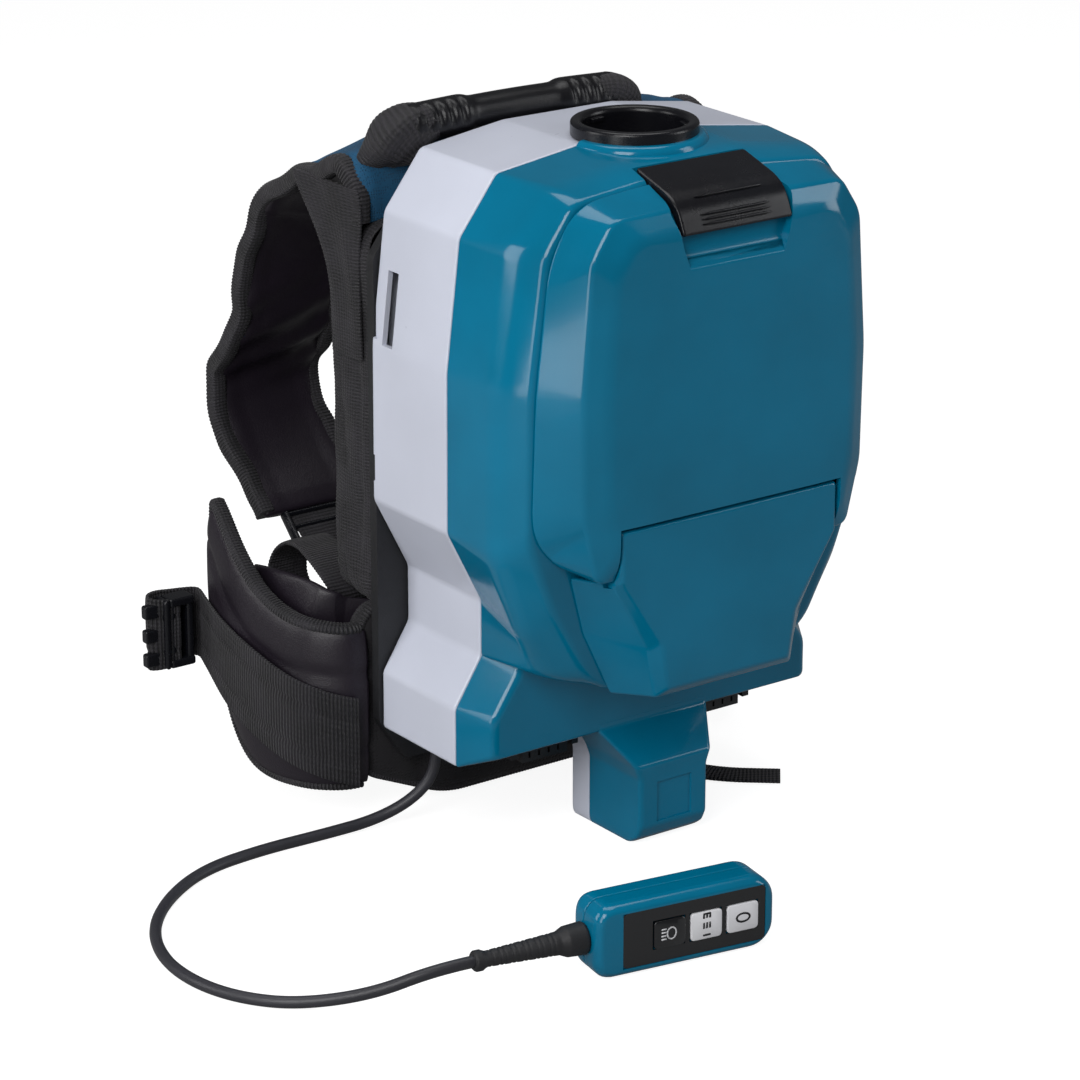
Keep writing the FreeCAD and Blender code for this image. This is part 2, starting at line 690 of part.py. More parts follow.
def make_shoulder_strap():
    outline = band(strap_path, strap_thick)
    radii = strap_bends + strap_bends[::-1]
    return prism(outline, "yz", -strap_outer_x, -strap_inner_x, radii)


def past_strap(distance):
    """Point in the YZ plane straight on from the strap's lower end."""
    (y0, z0), (y1, z1) = strap_path[-2:]
    run = math.hypot(y1 - y0, z1 - z0)
    return y1 + (y1 - y0) / run * distance, z1 + (z1 - z0) / run * distance


def make_pull_webbing():
    """Webbing that pulls the strap's lower end down to the lumbar pad."""
    end = (plate_rear_y + soft_gap + lumbar_thick + 0.8, top_z - 259)
    path = [past_strap(soft_gap), past_strap(23), (140, top_z - 251), end]
    return prism(band(path, webbing_thick), "yz", -96, -66, [0.3, 6, 20, 0.3] * 2)


def make_ladder_buckles():
    frame = prism(band([past_strap(soft_gap), past_strap(19)], 9), "yz", -102, -60)
    slot = prism(band([past_strap(-2), past_strap(22)], webbing_thick + 2 * soft_gap), "yz", -97, -65)
    return both_sides(frame.cut(slot))


# Belt wing's path in plan, from the lumbar pad round the wearer's hip
wing_path = [(-lumbar_half - 5.7, 80), (-139, 97), (-145, 140), (-136, 186)]
wing_side = [(60, 22), (130, 18), (154, 34), (176, 68), (191, 108), (192, 142), (184, 156), (120, 112),
             (60, 104)]


def make_waist_wing():
    strip = prism(band(wing_path, wing_thick), "xy", 0, 200, [1, 18, 60, 5, 5, 60, 18, 1])
    return strip.common(prism(wing_side, "yz", -200, -100, 8))


# Belt webbing lies along the wing's outer face and ends in the buckle's slot
belt_low_z = 68.0
belt_high_z = 100.0
buckle_y = (177.0, 189.0)
buckle_x = -156.0


def make_waist_webbing():
    side = 2 * (wing_thick / 2 + soft_gap + webbing_thick / 2)
    path = band(wing_path, side)[:len(wing_path)]
    over = buckle_y[1] + soft_gap + webbing_thick / 2
    path += [(path[-1][0] - 3.2, over), (buckle_x - 3.6, over + 0.2), (buckle_x - 7.5, buckle_y[0] + 7)]
    bends = [0.3, 18, 60, 3, 3, 1.5, 0.3]
    return prism(band(path, webbing_thick), "xy", belt_low_z, belt_high_z, bends + bends[::-1])


def buckle_body(reach):
    """Flat buckle half with a bar and a slot for the webbing, drawn on the machine's -X side."""
    low, high = belt_low_z - 3.6, belt_high_z + 3.6
    body = box((buckle_x - reach, buckle_x), buckle_y, (low, high))
    return body.cut(box((buckle_x - 12, buckle_x - 2), (0, 300), (belt_low_z - 0.5, belt_high_z + 0.5)))


def make_buckle_male():
    middle = sum(buckle_y) / 2
    prongs = [box((buckle_x - 26, buckle_x - 15), (middle - 2.5, middle + 2.5), (z, z + 7))
              for z in (belt_low_z - 1, belt_low_z + 12.5, belt_high_z - 6)]
    return fused([buckle_body(16)] + prongs)


def make_buckle_female():
    middle = sum(buckle_y) / 2
    mouth = box((buckle_x - 30, buckle_x - 15), (middle - 3, middle + 3), (belt_low_z - 1.5, belt_high_z + 1.5))
    return mirrored_shape(buckle_body(28).cut(mouth))


def make_belt_tail():
    """Loose end of webbing that lies on the floor, from under the lumbar pad forward past the leg."""
    path = [(54, plate_rear_y), (54, 44), (70, 14), (96, -7)]
    return prism(band(path, 18), "xy", 0, webbing_thick, [2, 30, 30, 4, 4, 30, 30, 2])


def make_carry_grip():
    length = (grip_left_x, grip_right_x)
    core = rod(grip_radius - 1, (length[0], grip_y, grip_z), (length[1], grip_y, grip_z))
    collars = [rod(grip_radius, (x, grip_y, grip_z), (x + 34, grip_y, grip_z))
               for x in (length[0], length[1] - 34)]
    hole = box((length[0] - 1, length[1] + 1), (grip_y - 6, grip_y + 6), (grip_z - 2, grip_z + 2))
    return fused([core] + collars).cut(hole)


handle_low_z = plate_top_z + 14
handle_path = [(grip_left_x - 12, handle_low_z), (grip_left_x - 12, grip_z - 8), (grip_left_x - 4, grip_z),
               (grip_right_x + 4, grip_z), (grip_right_x + 12, grip_z - 8), (grip_right_x + 12, handle_low_z)]


def make_handle_webbing():
    """Webbing through the grip, with a flat tab at each end on the back plate's rear face."""
    loop = prism(band(handle_path, 3), "xz", grip_y - 5.3, grip_y + 5.3, [0.5, 4, 4, 4, 4, 0.5] * 2)
    tab_y = plate_rear_y + soft_gap
    tabs = [box((x - 10, x + 10), (tab_y, tab_y + 3.8), (pad_high_z + 2, handle_low_z + 1))
            for x in (grip_left_x - 12, grip_right_x + 12)]
    return fused([loop] + tabs)


def make_cord_gland():
    """Tapered sleeve under the base, closed by the cord that starts at its lower face."""
    x, y, low = cord_route[0]
    profile = [(0, low), (cord_radius + 1.2, low), (cord_radius + 2.6, base_z - 0.2), (0, base_z - 0.2)]
    return revolved(profile, (x, y))


def cord_radii():
    """Each arc takes 0.45 of the shorter run beside it."""
    points = [Vector(*p) for p in cord_route]
    radii = [0.0]
    for a, b, c in zip(points, points[1:], points[2:]):
        turn = (b - a).getAngle(c - b)
        radii.append(0.45 * min((b - a).Length, (c - b).Length) / math.tan(turn / 2))
    return radii + [0.0]


def make_cord():
    radii = cord_radii()
    print("cord radii", [round(r) for r in radii[1:-1]])
    path = rounded_wire(cord_route, radii, closed=False)
    start = Vector(*cord_route[0])
    along = Vector(*cord_route[1]) - start
    section = Part.Wire(Part.makeCircle(cord_radius, start, along))
    tube = path.makePipeShell([section], True, True)
    print("cord length", round(path.Length, 1), "volume ratio",
          round(tube.Volume / (math.pi * cord_radius ** 2 * path.Length), 4))
    return tube


def make_strain_relief():
    """Tapered sleeve with a collar, from the cord's end to the remote's end wall."""
    end = Vector(*cord_route[-1])
    reach = -remote_length / 2 - 0.2
    tip = end - remote_center
    local = FreeCAD.Rotation(UP, -remote_turn).multVec(tip)
    z = end.z
    profile = [(local.x, 0), (local.x, cord_radius + 2.2), (local.x + 4, cord_radius + 2.2),
               (local.x + 5.5, cord_radius + 1), (reach - 14, cord_radius + 2.6),
               (reach - 10, cord_radius + 4.6), (reach, cord_radius + 5.2), (reach, 0)]
    face = Part.Face(rounded_wire([(x, local.y, z + r) for x, r in profile], [0] * len(profile)))
    return at_remote(face.revolve(Vector(0, local.y, z), Vector(1, 0, 0), 360))


# Remote control in its own frame
remote_split_y = 1.0
remote_wall = 2.0
panel_half = 39.0
panel_center_x = 4.0
panel_depth = 1.2
key_places = {"stop_key": 30.0, "speed_key": 10.0, "light_key": -10.0}


def remote_outline():
    half_x = remote_length / 2
    return [(-half_x, 6), (-half_x + 5, 0), (half_x - 8, 0), (half_x, 8), (half_x, remote_height - 8),
            (half_x - 8, remote_height), (-half_x + 5, remote_height), (-half_x, remote_height - 6)]


def remote_half_shell(front):
    outline = remote_outline()
    half_y = remote_depth / 2
    span = (-half_y, remote_split_y - 0.1) if front else (remote_split_y + 0.1, half_y)
    outer = prism(outline, "xz", span[0], span[1], 3)
    hollow_span = (span[0] + 3.4, span[1] + 1) if front else (span[0] - 1, span[1] - remote_wall)
    return outer.cut(prism(inset(outline, remote_wall), "xz", hollow_span[0], hollow_span[1], 1.5))


def key_box(x, grow, y):
    z = remote_height / 2
    return box((x - key_width / 2 - grow, x + key_width / 2 + grow), y,
               (z - key_height / 2 - grow, z + key_height / 2 + grow))


board_back_y = -4.9
post_places = [(x, z) for x in (-43, 43) for z in (9, remote_height - 9)]


def make_remote_front():
    front = -remote_depth / 2
    posts = [rod(3, (x, front + 3, z), (x, board_back_y - 1.5, z)) for x, z in post_places]
    shell = fused([remote_half_shell(True)] + posts)
    cuts = [box((panel_center_x - panel_half - 0.2, panel_center_x + panel_half + 0.2), (front - 1, front + panel_depth),
                (remote_height / 2 - 12.2, remote_height / 2 + 12.2))]
    cuts += [key_box(x, 0.6, (front - 1, front + 5)) for x in key_places.values()]
    cuts += [rod(1.2, (x, front + 4, z), (x, 0, z)) for x, z in post_places]
    return at_remote(shell.cut(fused_cutters(cuts)))


def make_key_panel():
    front = -remote_depth / 2
    panel = box((panel_center_x - panel_half, panel_center_x + panel_half), (front - 0.4, front + panel_depth - 0.05),
                (remote_height / 2 - 12, remote_height / 2 + 12))
    return at_remote(panel.cut(fused_cutters([key_box(x, 0.4, (front - 1, front + 5))
                                              for x in key_places.values()])))


def make_key(x):
    """Key cap with a wider flange behind the front wall."""
    front = -remote_depth / 2
    cap = key_box(x, 0, (front - 0.4 - key_travel - 0.3, front + 3.8))
    flange = key_box(x, 1.0, (front + 3.6, front + 5))
    return at_remote(fused([cap, flange]))


def make_remote_back():
    shell = remote_half_shell(False)
    back = remote_depth / 2
    posts = [rod(3, (x, back - 1, z), (x, board_back_y + 0.1, z)) for x, z in post_places]
    shell = fused([shell] + posts)
    bores = [rod(1.2, (x, back + 1, z), (x, board_back_y - 1, z)) for x, z in post_places]
    heads = [rod(2.2, (x, back - 2, z), (x, back + 1, z)) for x, z in post_places]
    return at_remote(shell.cut(fused_cutters(bores + heads)))


def make_remote_screws():
    back = remote_depth / 2
    screws = [fused([rod(1.15, (x, back - 0.5, z), (x, -9, z)), rod(2.0, (x, back - 2, z), (x, back - 0.2, z))])
              for x, z in post_places]
    return at_remote(Part.makeCompound(screws))


def make_remote_board():
    """Circuit board clamped on the back shell's posts, with a tactile switch behind each key."""
    front = -remote_depth / 2
    board = box((-44, 43.5), (board_back_y - 1.4, board_back_y), (6, remote_height - 6))
    switches = [box((x - 3, x + 3), (front + 5 + key_travel + 0.1, board_back_y - 1),
                    (remote_height / 2 - 3, remote_height / 2 + 3)) for x in key_places.values()]
    holes = [rod(1.4, (x, -10, z), (x, 0, z)) for x, z in post_places]
    return at_remote(fused([board] + switches).cut(fused_cutters(holes)))


def make_remote_clip():
    back = remote_depth / 2
    foot = box((-34, -20), (back - 0.0, back + 4), (12, remote_height - 12))
    tongue = box((-34, 12), (back + 3, back + 5), (12, remote_height - 12))
    return at_remote(fused([foot, tongue]))


def build():
    parts["rear_shell"] = make_rear_shell()
    parts["front_housing"] = make_front_housing()
    parts["lid"] = make_lid()
    parts["lower_cover"] = make_lower_cover()
    parts["lid_seal"] = seal_ring()
    parts["lid_hinge_pins"] = make_hinge_pins()
    parts["lid_latch"] = make_latch()
    parts["latch_pin"] = make_latch_pin()
    parts["latch_spring"] = make_latch_spring()
    parts["hose_socket"] = make_hose_socket()
    parts["socket_seal"] = make_socket_seal()
    parts["dust_bag"] = make_dust_bag()
    parts["bag_collar"] = make_bag_collar()
    parts["filter_frame"] = make_filter_frame()
    parts["filter_pleats"] = make_filter_pleats()
    parts["motor_bulkhead"] = make_bulkhead()
    parts["motor_mounts"] = make_motor_mounts()
    parts["fan_shroud"] = make_fan_shroud()
    parts["impeller"] = make_impeller()
    parts["motor_housing"] = make_motor_housing()
    parts["motor_bearings"] = make_bearings()
    parts["stator"] = make_stator()
    parts["rotor_shaft"] = make_rotor()
    parts["control_board"] = make_control_board()
    parts["battery_terminals"] = make_battery_terminals()
    parts["housing_screws"] = make_housing_screws()
    parts["back_plate"] = make_back_plate()
    parts["plate_screws"] = make_plate_screws()
    parts["back_pad"] = make_back_pad()
    parts["lumbar_pad"] = make_lumbar_pad()
    for side, shape in (("left", lambda s: s), ("right", mirrored_shape)):
        parts["shoulder_strap_" + side] = shape(make_shoulder_strap())
        parts["pull_webbing_" + side] = shape(make_pull_webbing())
        parts["waist_wing_" + side] = shape(make_waist_wing())
        parts["waist_webbing_" + side] = shape(make_waist_webbing())
    parts["belt_tail"] = make_belt_tail()
    parts["ladder_buckles"] = make_ladder_buckles()
    parts["buckle_male"] = make_buckle_male()
    parts["buckle_female"] = make_buckle_female()
    parts["carry_grip"] = make_carry_grip()
    parts["handle_webbing"] = make_handle_webbing()
    parts["cord_gland"] = make_cord_gland()
    parts["cord"] = make_cord()
    parts["remote_strain_relief"] = make_strain_relief()
    parts["remote_front_shell"] = make_remote_front()
    parts["remote_back_shell"] = make_remote_back()
    parts["key_panel"] = make_key_panel()
    for name, x in key_places.items():
        parts[name] = make_key(x)
    parts["remote_board"] = make_remote_board()
    parts["remote_screws"] = make_remote_screws()
    parts["remote_clip"] = make_remote_clip()


build()
os.makedirs("parts", exist_ok=True)
for name, shape in parts.items():
    bounds = shape.BoundBox
    print(name, "solids", len(shape.Solids), "valid", shape.isValid(), "volume", round(shape.Volume),
          "z", round(bounds.ZMin, 1), round(bounds.ZMax, 1))
    shape.exportStep("parts/" + name + ".step")
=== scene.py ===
import json
import math

import bmesh
import bpy
import numpy as np
from mathutils import Vector
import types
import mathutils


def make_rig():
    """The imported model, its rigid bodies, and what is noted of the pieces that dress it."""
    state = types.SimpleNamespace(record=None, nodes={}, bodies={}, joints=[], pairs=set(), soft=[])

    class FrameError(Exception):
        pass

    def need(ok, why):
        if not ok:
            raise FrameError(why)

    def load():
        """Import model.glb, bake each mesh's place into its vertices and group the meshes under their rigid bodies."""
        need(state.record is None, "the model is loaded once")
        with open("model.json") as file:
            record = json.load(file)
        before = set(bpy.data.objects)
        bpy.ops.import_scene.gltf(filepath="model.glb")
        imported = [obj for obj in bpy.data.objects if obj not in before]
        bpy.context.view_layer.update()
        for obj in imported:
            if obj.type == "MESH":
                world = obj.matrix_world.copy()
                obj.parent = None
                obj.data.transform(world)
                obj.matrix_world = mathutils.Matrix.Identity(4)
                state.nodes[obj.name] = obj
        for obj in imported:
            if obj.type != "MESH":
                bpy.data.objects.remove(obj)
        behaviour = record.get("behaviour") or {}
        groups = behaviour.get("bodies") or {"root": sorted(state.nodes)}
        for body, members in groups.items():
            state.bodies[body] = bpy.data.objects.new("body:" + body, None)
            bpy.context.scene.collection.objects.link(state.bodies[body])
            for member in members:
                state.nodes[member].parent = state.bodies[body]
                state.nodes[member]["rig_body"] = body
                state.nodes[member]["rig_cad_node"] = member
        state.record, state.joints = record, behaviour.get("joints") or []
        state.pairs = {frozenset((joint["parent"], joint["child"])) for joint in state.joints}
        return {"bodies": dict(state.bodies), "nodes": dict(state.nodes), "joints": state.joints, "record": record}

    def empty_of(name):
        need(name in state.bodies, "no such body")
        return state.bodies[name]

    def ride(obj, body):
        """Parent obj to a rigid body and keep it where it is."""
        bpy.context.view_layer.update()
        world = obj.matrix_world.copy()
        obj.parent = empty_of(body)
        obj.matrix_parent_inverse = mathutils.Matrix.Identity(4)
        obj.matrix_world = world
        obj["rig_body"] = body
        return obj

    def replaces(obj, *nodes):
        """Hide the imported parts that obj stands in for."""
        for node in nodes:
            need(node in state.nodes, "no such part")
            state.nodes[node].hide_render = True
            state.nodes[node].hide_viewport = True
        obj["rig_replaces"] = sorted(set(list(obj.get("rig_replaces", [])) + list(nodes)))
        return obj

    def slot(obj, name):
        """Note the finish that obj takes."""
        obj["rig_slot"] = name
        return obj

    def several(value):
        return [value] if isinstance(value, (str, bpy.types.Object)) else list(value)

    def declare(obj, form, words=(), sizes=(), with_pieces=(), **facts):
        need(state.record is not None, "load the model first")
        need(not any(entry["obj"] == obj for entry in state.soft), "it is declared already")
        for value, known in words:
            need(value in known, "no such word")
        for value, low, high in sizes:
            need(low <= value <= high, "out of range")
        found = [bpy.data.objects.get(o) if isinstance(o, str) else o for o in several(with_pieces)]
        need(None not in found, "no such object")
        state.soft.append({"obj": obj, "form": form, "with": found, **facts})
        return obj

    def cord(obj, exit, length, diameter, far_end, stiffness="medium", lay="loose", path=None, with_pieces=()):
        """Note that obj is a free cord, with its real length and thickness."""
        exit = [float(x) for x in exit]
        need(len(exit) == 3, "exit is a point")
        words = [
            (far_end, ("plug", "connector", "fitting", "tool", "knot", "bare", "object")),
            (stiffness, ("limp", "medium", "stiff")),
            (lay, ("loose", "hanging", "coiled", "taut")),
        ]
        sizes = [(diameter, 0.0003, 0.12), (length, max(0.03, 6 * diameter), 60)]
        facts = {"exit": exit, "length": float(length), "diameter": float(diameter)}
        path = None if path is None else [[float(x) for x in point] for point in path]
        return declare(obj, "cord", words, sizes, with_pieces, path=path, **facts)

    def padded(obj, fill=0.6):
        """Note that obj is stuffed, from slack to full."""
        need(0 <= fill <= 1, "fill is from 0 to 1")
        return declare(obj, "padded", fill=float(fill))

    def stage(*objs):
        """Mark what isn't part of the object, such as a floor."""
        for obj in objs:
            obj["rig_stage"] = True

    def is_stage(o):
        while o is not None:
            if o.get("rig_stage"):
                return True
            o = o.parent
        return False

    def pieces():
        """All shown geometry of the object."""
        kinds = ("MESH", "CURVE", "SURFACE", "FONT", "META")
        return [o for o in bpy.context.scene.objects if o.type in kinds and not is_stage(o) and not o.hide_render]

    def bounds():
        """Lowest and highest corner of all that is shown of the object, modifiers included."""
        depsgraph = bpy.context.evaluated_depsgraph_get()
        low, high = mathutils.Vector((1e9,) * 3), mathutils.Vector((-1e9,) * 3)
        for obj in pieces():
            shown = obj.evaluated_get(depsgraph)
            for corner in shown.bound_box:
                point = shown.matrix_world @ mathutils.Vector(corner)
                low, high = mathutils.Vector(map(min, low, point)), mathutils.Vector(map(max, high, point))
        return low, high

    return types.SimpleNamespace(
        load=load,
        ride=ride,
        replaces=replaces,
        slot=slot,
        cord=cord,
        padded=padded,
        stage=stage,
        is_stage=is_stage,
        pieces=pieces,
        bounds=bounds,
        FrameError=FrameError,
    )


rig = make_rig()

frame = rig.load()

bl_info = {
    "name": "Backpack Vacuum Cleaner Builder",
    "version": (1, 0, 0),
    "blender": (4, 5, 0),
    "location": "3D Viewport > Sidebar > Backpack Vacuum",
    "description": "Builds the visible pieces of a cordless backpack vacuum cleaner over its CAD frame",
    "category": "Add Mesh",
}

# Lengths in this file are in millimetres until mesh_piece turns them into metres.
# X to the machine's own left, Y towards the wearer, Z up from the floor under the leg.
MM = 0.001
CAD_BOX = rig.bounds()
SIZE_FILE = "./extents.json"

# Route of the remote control's cord, from the gland to the strain relief
CORD_ROUTE = [
    (-86.0, 52.0, 44.6), (-86.0, 52.0, 30.0), (-96.0, 57.0, 15.0), (-116.0, 64.0, 5.0),
    (-146.0, 68.0, 3.0), (-183.0, 70.0, 3.0), (-220.0, 66.0, 3.0), (-252.0, 47.0, 3.0),
    (-277.0, 20.0, 3.0), (-290.0, -12.0, 3.0), (-291.0, -43.0, 3.0), (-282.0, -70.0, 3.0),
    (-264.0, -92.0, 3.5), (-236.0, -112.0, 8.5), (-209.85, -125.85, 19.0), (-190.1, -129.0, 19.0),
]
CORD_LENGTH = 0.440
# Where the remote control's own origin lies, and its turn about the vertical
REMOTE_PLACE = (-83.5, -146.1)
REMOTE_TURN = math.radians(-9.07)

WALL = 3  # thickness of the moulded shells
EDGE_ANGLE = math.radians(48)  # folds sharper than this are rounded
STRAP_MIDDLE = 79.5  # from the middle plane to the middle of a shoulder strap
STRAP_ROLL = 0.24  # how far a strap leans over at the shoulder, as a slope
SOCKET_HOLE = ((0, 0), 30, (338, 380))

# Right halves of the housing's outlines, from the top down
PARTING = [(34, 365), (84, 358), (106, 329), (114, 262), (114.5, 180), (94.5, 141), (94.5, 111),
           (110.4, 86), (110.4, 54.6)]
BOWL_PARTING = PARTING[:7] + [(60, 100)]
BOWL_BULGE = [(34, 363), (80, 357), (101, 331), (112, 262), (114, 176), (99, 133), (83, 108), (56, 100)]
BOWL_SEAM = [(34, 357.5), (77, 353.5), (93.5, 329), (102, 262), (104, 188), (90, 150), (70, 112), (54, 100)]
MOUTH = [(34, 336), (76, 336), (84, 327), (84, 262), (84, 212), (76, 200), (55, 200), (30, 200)]
BASE_PARTING = [(90.5, 120), (94.5, 111), (110.4, 86), (110.4, 54.6)]
BASE_FRONT = [(80.5, 112), (84.5, 104), (99.8, 82), (99.8, 62)]
LID_SEAM = [(34, 357), (77, 353), (93, 328), (101, 262), (103.5, 190), (82, 167)]
LID_CREASE = [(34, 349), (70, 348), (82, 330), (87, 262), (86, 200), (78, 167)]
LID_FACE = [(30, 338), (60, 338), (71, 322), (76, 262), (75, 208), (70, 180)]
COVER_SEAM = [(68, 194), (68, 166), (80, 165.8), (72, 135), (55, 99.5)]
COVER_CREASE = [(68, 194), (68, 166), (69, 165.8), (47, 127), (43, 101)]
COVER_FACE = [(67, 193.2), (67, 168), (65.5, 166.5), (42, 131), (38, 106)]

# Middle lines of the harness, from part to part
STRAP_LINE = [(81.3, 319), (82.3, 342), (99, 352.5), (136, 340), (170, 317), (188, 280), (198, 238),
              (226, 200), (207, 168), (176, 138)]
PULL_LINE = [(175.7, 137.7), (158, 124), (135, 112), (93, 106)]
WING_LINE = [(-113, 79.5), (-125, 81), (-139, 97), (-145, 140), (-136, 186)]
WING_LOW = [(60, 22), (130, 18), (154, 34), (176, 68), (191, 108)]
WING_HIGH = [(60, 104), (120, 112), (184, 156), (192, 142)]
BUCKLE_LOOP = [(-148.5, 190.0, 84), (-157, 192.5, 84), (-168, 192.8, 84), (-176, 189.5, 84),
               (-177.5, 184.5, 84), (-173, 180.5, 84), (-162, 179.5, 84)]


# ---------------------------------------------------------------- numpy surfaces

def whole(half):
    """Closed outline from its right half: the half, then its mirror image -x taken backwards."""
    right = np.array(half, float)
    return np.vstack([right, (right * [-1, 1])[::-1]])


def inset(outline, distance):
    """Closed outline moved inwards. Each corner p moves by distance (n1 + n2) / (1 + n1.n2), n being the
    inward unit normals of the two sides that meet there."""
    side = np.roll(outline, -1, axis=0) - outline
    normal = np.stack([side[:, 1], -side[:, 0]], axis=1)
    normal /= np.linalg.norm(normal, axis=1, keepdims=True)
    before = np.roll(normal, 1, axis=0)
    share = np.maximum(1 + (normal * before).sum(axis=1, keepdims=True), 0.4)
    area = (outline[:, 0] * np.roll(outline[:, 1], -1) - np.roll(outline[:, 0], -1) * outline[:, 1]).sum()
    inward = 1 if area < 0 else -1
    return outline + inward * distance * (normal + before) / share


def at_y(outline, y):
    """Outline (x, z) placed in the plane y."""
    return np.column_stack([outline[:, 0], np.full(len(outline), float(y)), outline[:, 1]])


def shrunk(ring, share, y):
    """Ring drawn towards its own middle in x and z: c + share (p - c), placed at y."""
    middle = (ring.min(axis=0) + ring.max(axis=0)) / 2
    moved = middle + share * (ring - middle)
    moved[:, 1] = y
    return moved


def round_corners(points, reach, steps, closed):
    """Polyline along axis 0 with each corner p replaced by the arc (1-t)^2 a + 2t(1-t) p + t^2 b, where a
    and b lie on the two runs beside p, reach away from it or 0.46 of the run if that is less."""
    points = np.asarray(points, float)
    reach = np.broadcast_to(np.asarray(reach, float).reshape([-1] + [1] * (points.ndim - 1)),
                            (len(points),) + (1,) * (points.ndim - 1))
    before, after = np.roll(points, 1, axis=0), np.roll(points, -1, axis=0)
    back, on = before - points, after - points
    back_run = np.maximum(np.linalg.norm(back, axis=-1, keepdims=True), 1e-9)
    on_run = np.maximum(np.linalg.norm(on, axis=-1, keepdims=True), 1e-9)
    reach = np.broadcast_to(reach, back_run.shape)
    a = points + back / back_run * np.minimum(reach, 0.46 * back_run)
    b = points + on / on_run * np.minimum(reach, 0.46 * on_run)
    t = np.linspace(0, 1, steps + 1).reshape([1, -1] + [1] * (points.ndim - 1))
    arcs = ((1 - t) ** 2 * a[:, None] + 2 * t * (1 - t) * points[:, None] + t ** 2 * b[:, None])
    if closed:
        return arcs.reshape((-1,) + points.shape[1:])
    inner = arcs[1:-1].reshape((-1,) + points.shape[1:])
    return np.concatenate([points[:1], inner, points[-1:]])


def grid_faces(rows, columns, wrap_rows):
    """Quads (i, j), (i, j+1), (i+1, j+1), (i+1, j) of a grid of points numbered i * columns + j. Columns
    always close into a ring; rows do if wrap_rows says so."""
    i, j = np.meshgrid(np.arange(rows if wrap_rows else rows - 1), np.arange(columns), indexing="ij")
    i, j = i.ravel(), j.ravel()
    i2, j2 = (i + 1) % rows, (j + 1) % columns
    return np.column_stack([i * columns + j, i * columns + j2, i2 * columns + j2, i2 * columns + j])


def split_runs(ring, group, parts):
    """Ring whose straight runs, one after every group of points, get parts - 1 points spaced evenly on them."""
    blocks = ring.reshape(-1, group, ring.shape[1])
    onward = np.roll(blocks[:, 0], -1, axis=0)
    t = (np.arange(1, parts) / parts)[None, :, None]
    between = blocks[:, -1][:, None] * (1 - t) + onward[:, None] * t
    return np.concatenate([blocks, between], axis=1).reshape(-1, ring.shape[1])


def skin(sections, ring_reach, row_reach, wrap_rows, ring_steps=5, row_steps=5, parts=4):
    """Grid of points over sections, whose corners are rounded both round each ring and across the rings.
    ring_reach is one reach for all sections, or one for each."""
    reach = np.broadcast_to(np.asarray(ring_reach, float), (len(sections),))
    rings = np.stack([split_runs(round_corners(ring, r, ring_steps, True), ring_steps + 1, parts)
                      for ring, r in zip(sections, reach)])
    reach = np.array(row_reach, float)
    return round_corners(rings, reach, row_steps, wrap_rows)


def resampled(points, count):
    """Points evenly spaced by arc length along an open polyline, found by linear interpolation."""
    points = np.asarray(points, float)
    length = np.concatenate([[0], np.cumsum(np.linalg.norm(np.diff(points, axis=0), axis=1))])
    at = np.linspace(0, length[-1], count)
    return np.column_stack([np.interp(at, length, points[:, k]) for k in range(points.shape[1])]), at


def unit_tangent(line):
    """Unit tangents of a polyline by central differences: p(i+1) - p(i-1), scaled to length 1."""
    tangent = np.gradient(line, axis=0)
    return tangent / np.linalg.norm(tangent, axis=1, keepdims=True)


def sweep(line, side, outline, shape=None):
    """Points c(i) + u side(i) + v n(i), n = tangent x side, for each point (u, v) of a closed outline.
    shape(s, u, v) gives the outline's own changes along the arc length share s, if it has any."""
    side = np.broadcast_to(np.asarray(side, float), line.shape)
    normal = np.cross(unit_tangent(line), side)
    normal /= np.linalg.norm(normal, axis=1, keepdims=True)
    share = np.linspace(0, 1, len(line))[:, None]
    u = np.broadcast_to(outline[:, 0], (len(line), len(outline)))
    v = np.broadcast_to(outline[:, 1], (len(line), len(outline)))
    if shape is not None:
        u, v = shape(share, u, v)
    return line[:, None] + u[..., None] * side[:, None] + v[..., None] * normal[:, None]


def pillow_outline(width, thickness, count, power=3.2):
    """Superellipse |u/a|^p + |v/b|^p = 1 as a closed ring: u = a sgn(cos) |cos|^(2/p), v the same in sin."""
    angle = np.linspace(0, 2 * math.pi, count, endpoint=False)
    c, s = np.cos(angle), np.sin(angle)
    return np.column_stack([width / 2 * np.sign(c) * np.abs(c) ** (2 / power),
                            thickness / 2 * np.sign(s) * np.abs(s) ** (2 / power)])


def revolve(profile, center, count=96):
    """Closed (r, z) profile turned about a vertical axis: x = cx + r cos a, y = cy + r sin a."""
    profile = np.asarray(profile, float)
    angle = np.linspace(0, 2 * math.pi, count, endpoint=False)
    x = center[0] + profile[:, 0][:, None] * np.cos(angle)
    y = center[1] + profile[:, 0][:, None] * np.sin(angle)
    return np.stack([x, y, np.broadcast_to(profile[:, 1][:, None], x.shape)], axis=-1)


# ---------------------------------------------------------------- pieces and materials

class Lump:
    """Points and faces of one or more grids on their way to becoming a piece."""

    def __init__(self):
        self.points, self.faces, self.marks, self.flow, self.count = [], [], [], [], 0

    def grid(self, points, wrap_rows=False, caps=False, mark=0, flow=None):
        """Adds a grid of rows x columns points, with flow coordinates and the number of its material; caps
        closes the two end rows with one face each."""
        rows, columns = points.shape[:2]
        faces = grid_faces(rows, columns, wrap_rows) + self.count
        self.faces += faces.tolist()
        self.marks += [mark] * len(faces)
        if caps:
            first = np.arange(columns)
            last = first + (rows - 1) * columns
            self.faces += [(first + self.count)[::-1].tolist(), (last + self.count).tolist()]
            self.marks += [mark, mark]
        self.points.append(points.reshape(-1, 3))
        if flow is None:
            flow = np.zeros((rows, columns, 2))
        self.flow.append(np.asarray(flow, float).reshape(-1, 2))
        self.count += rows * columns
        return self


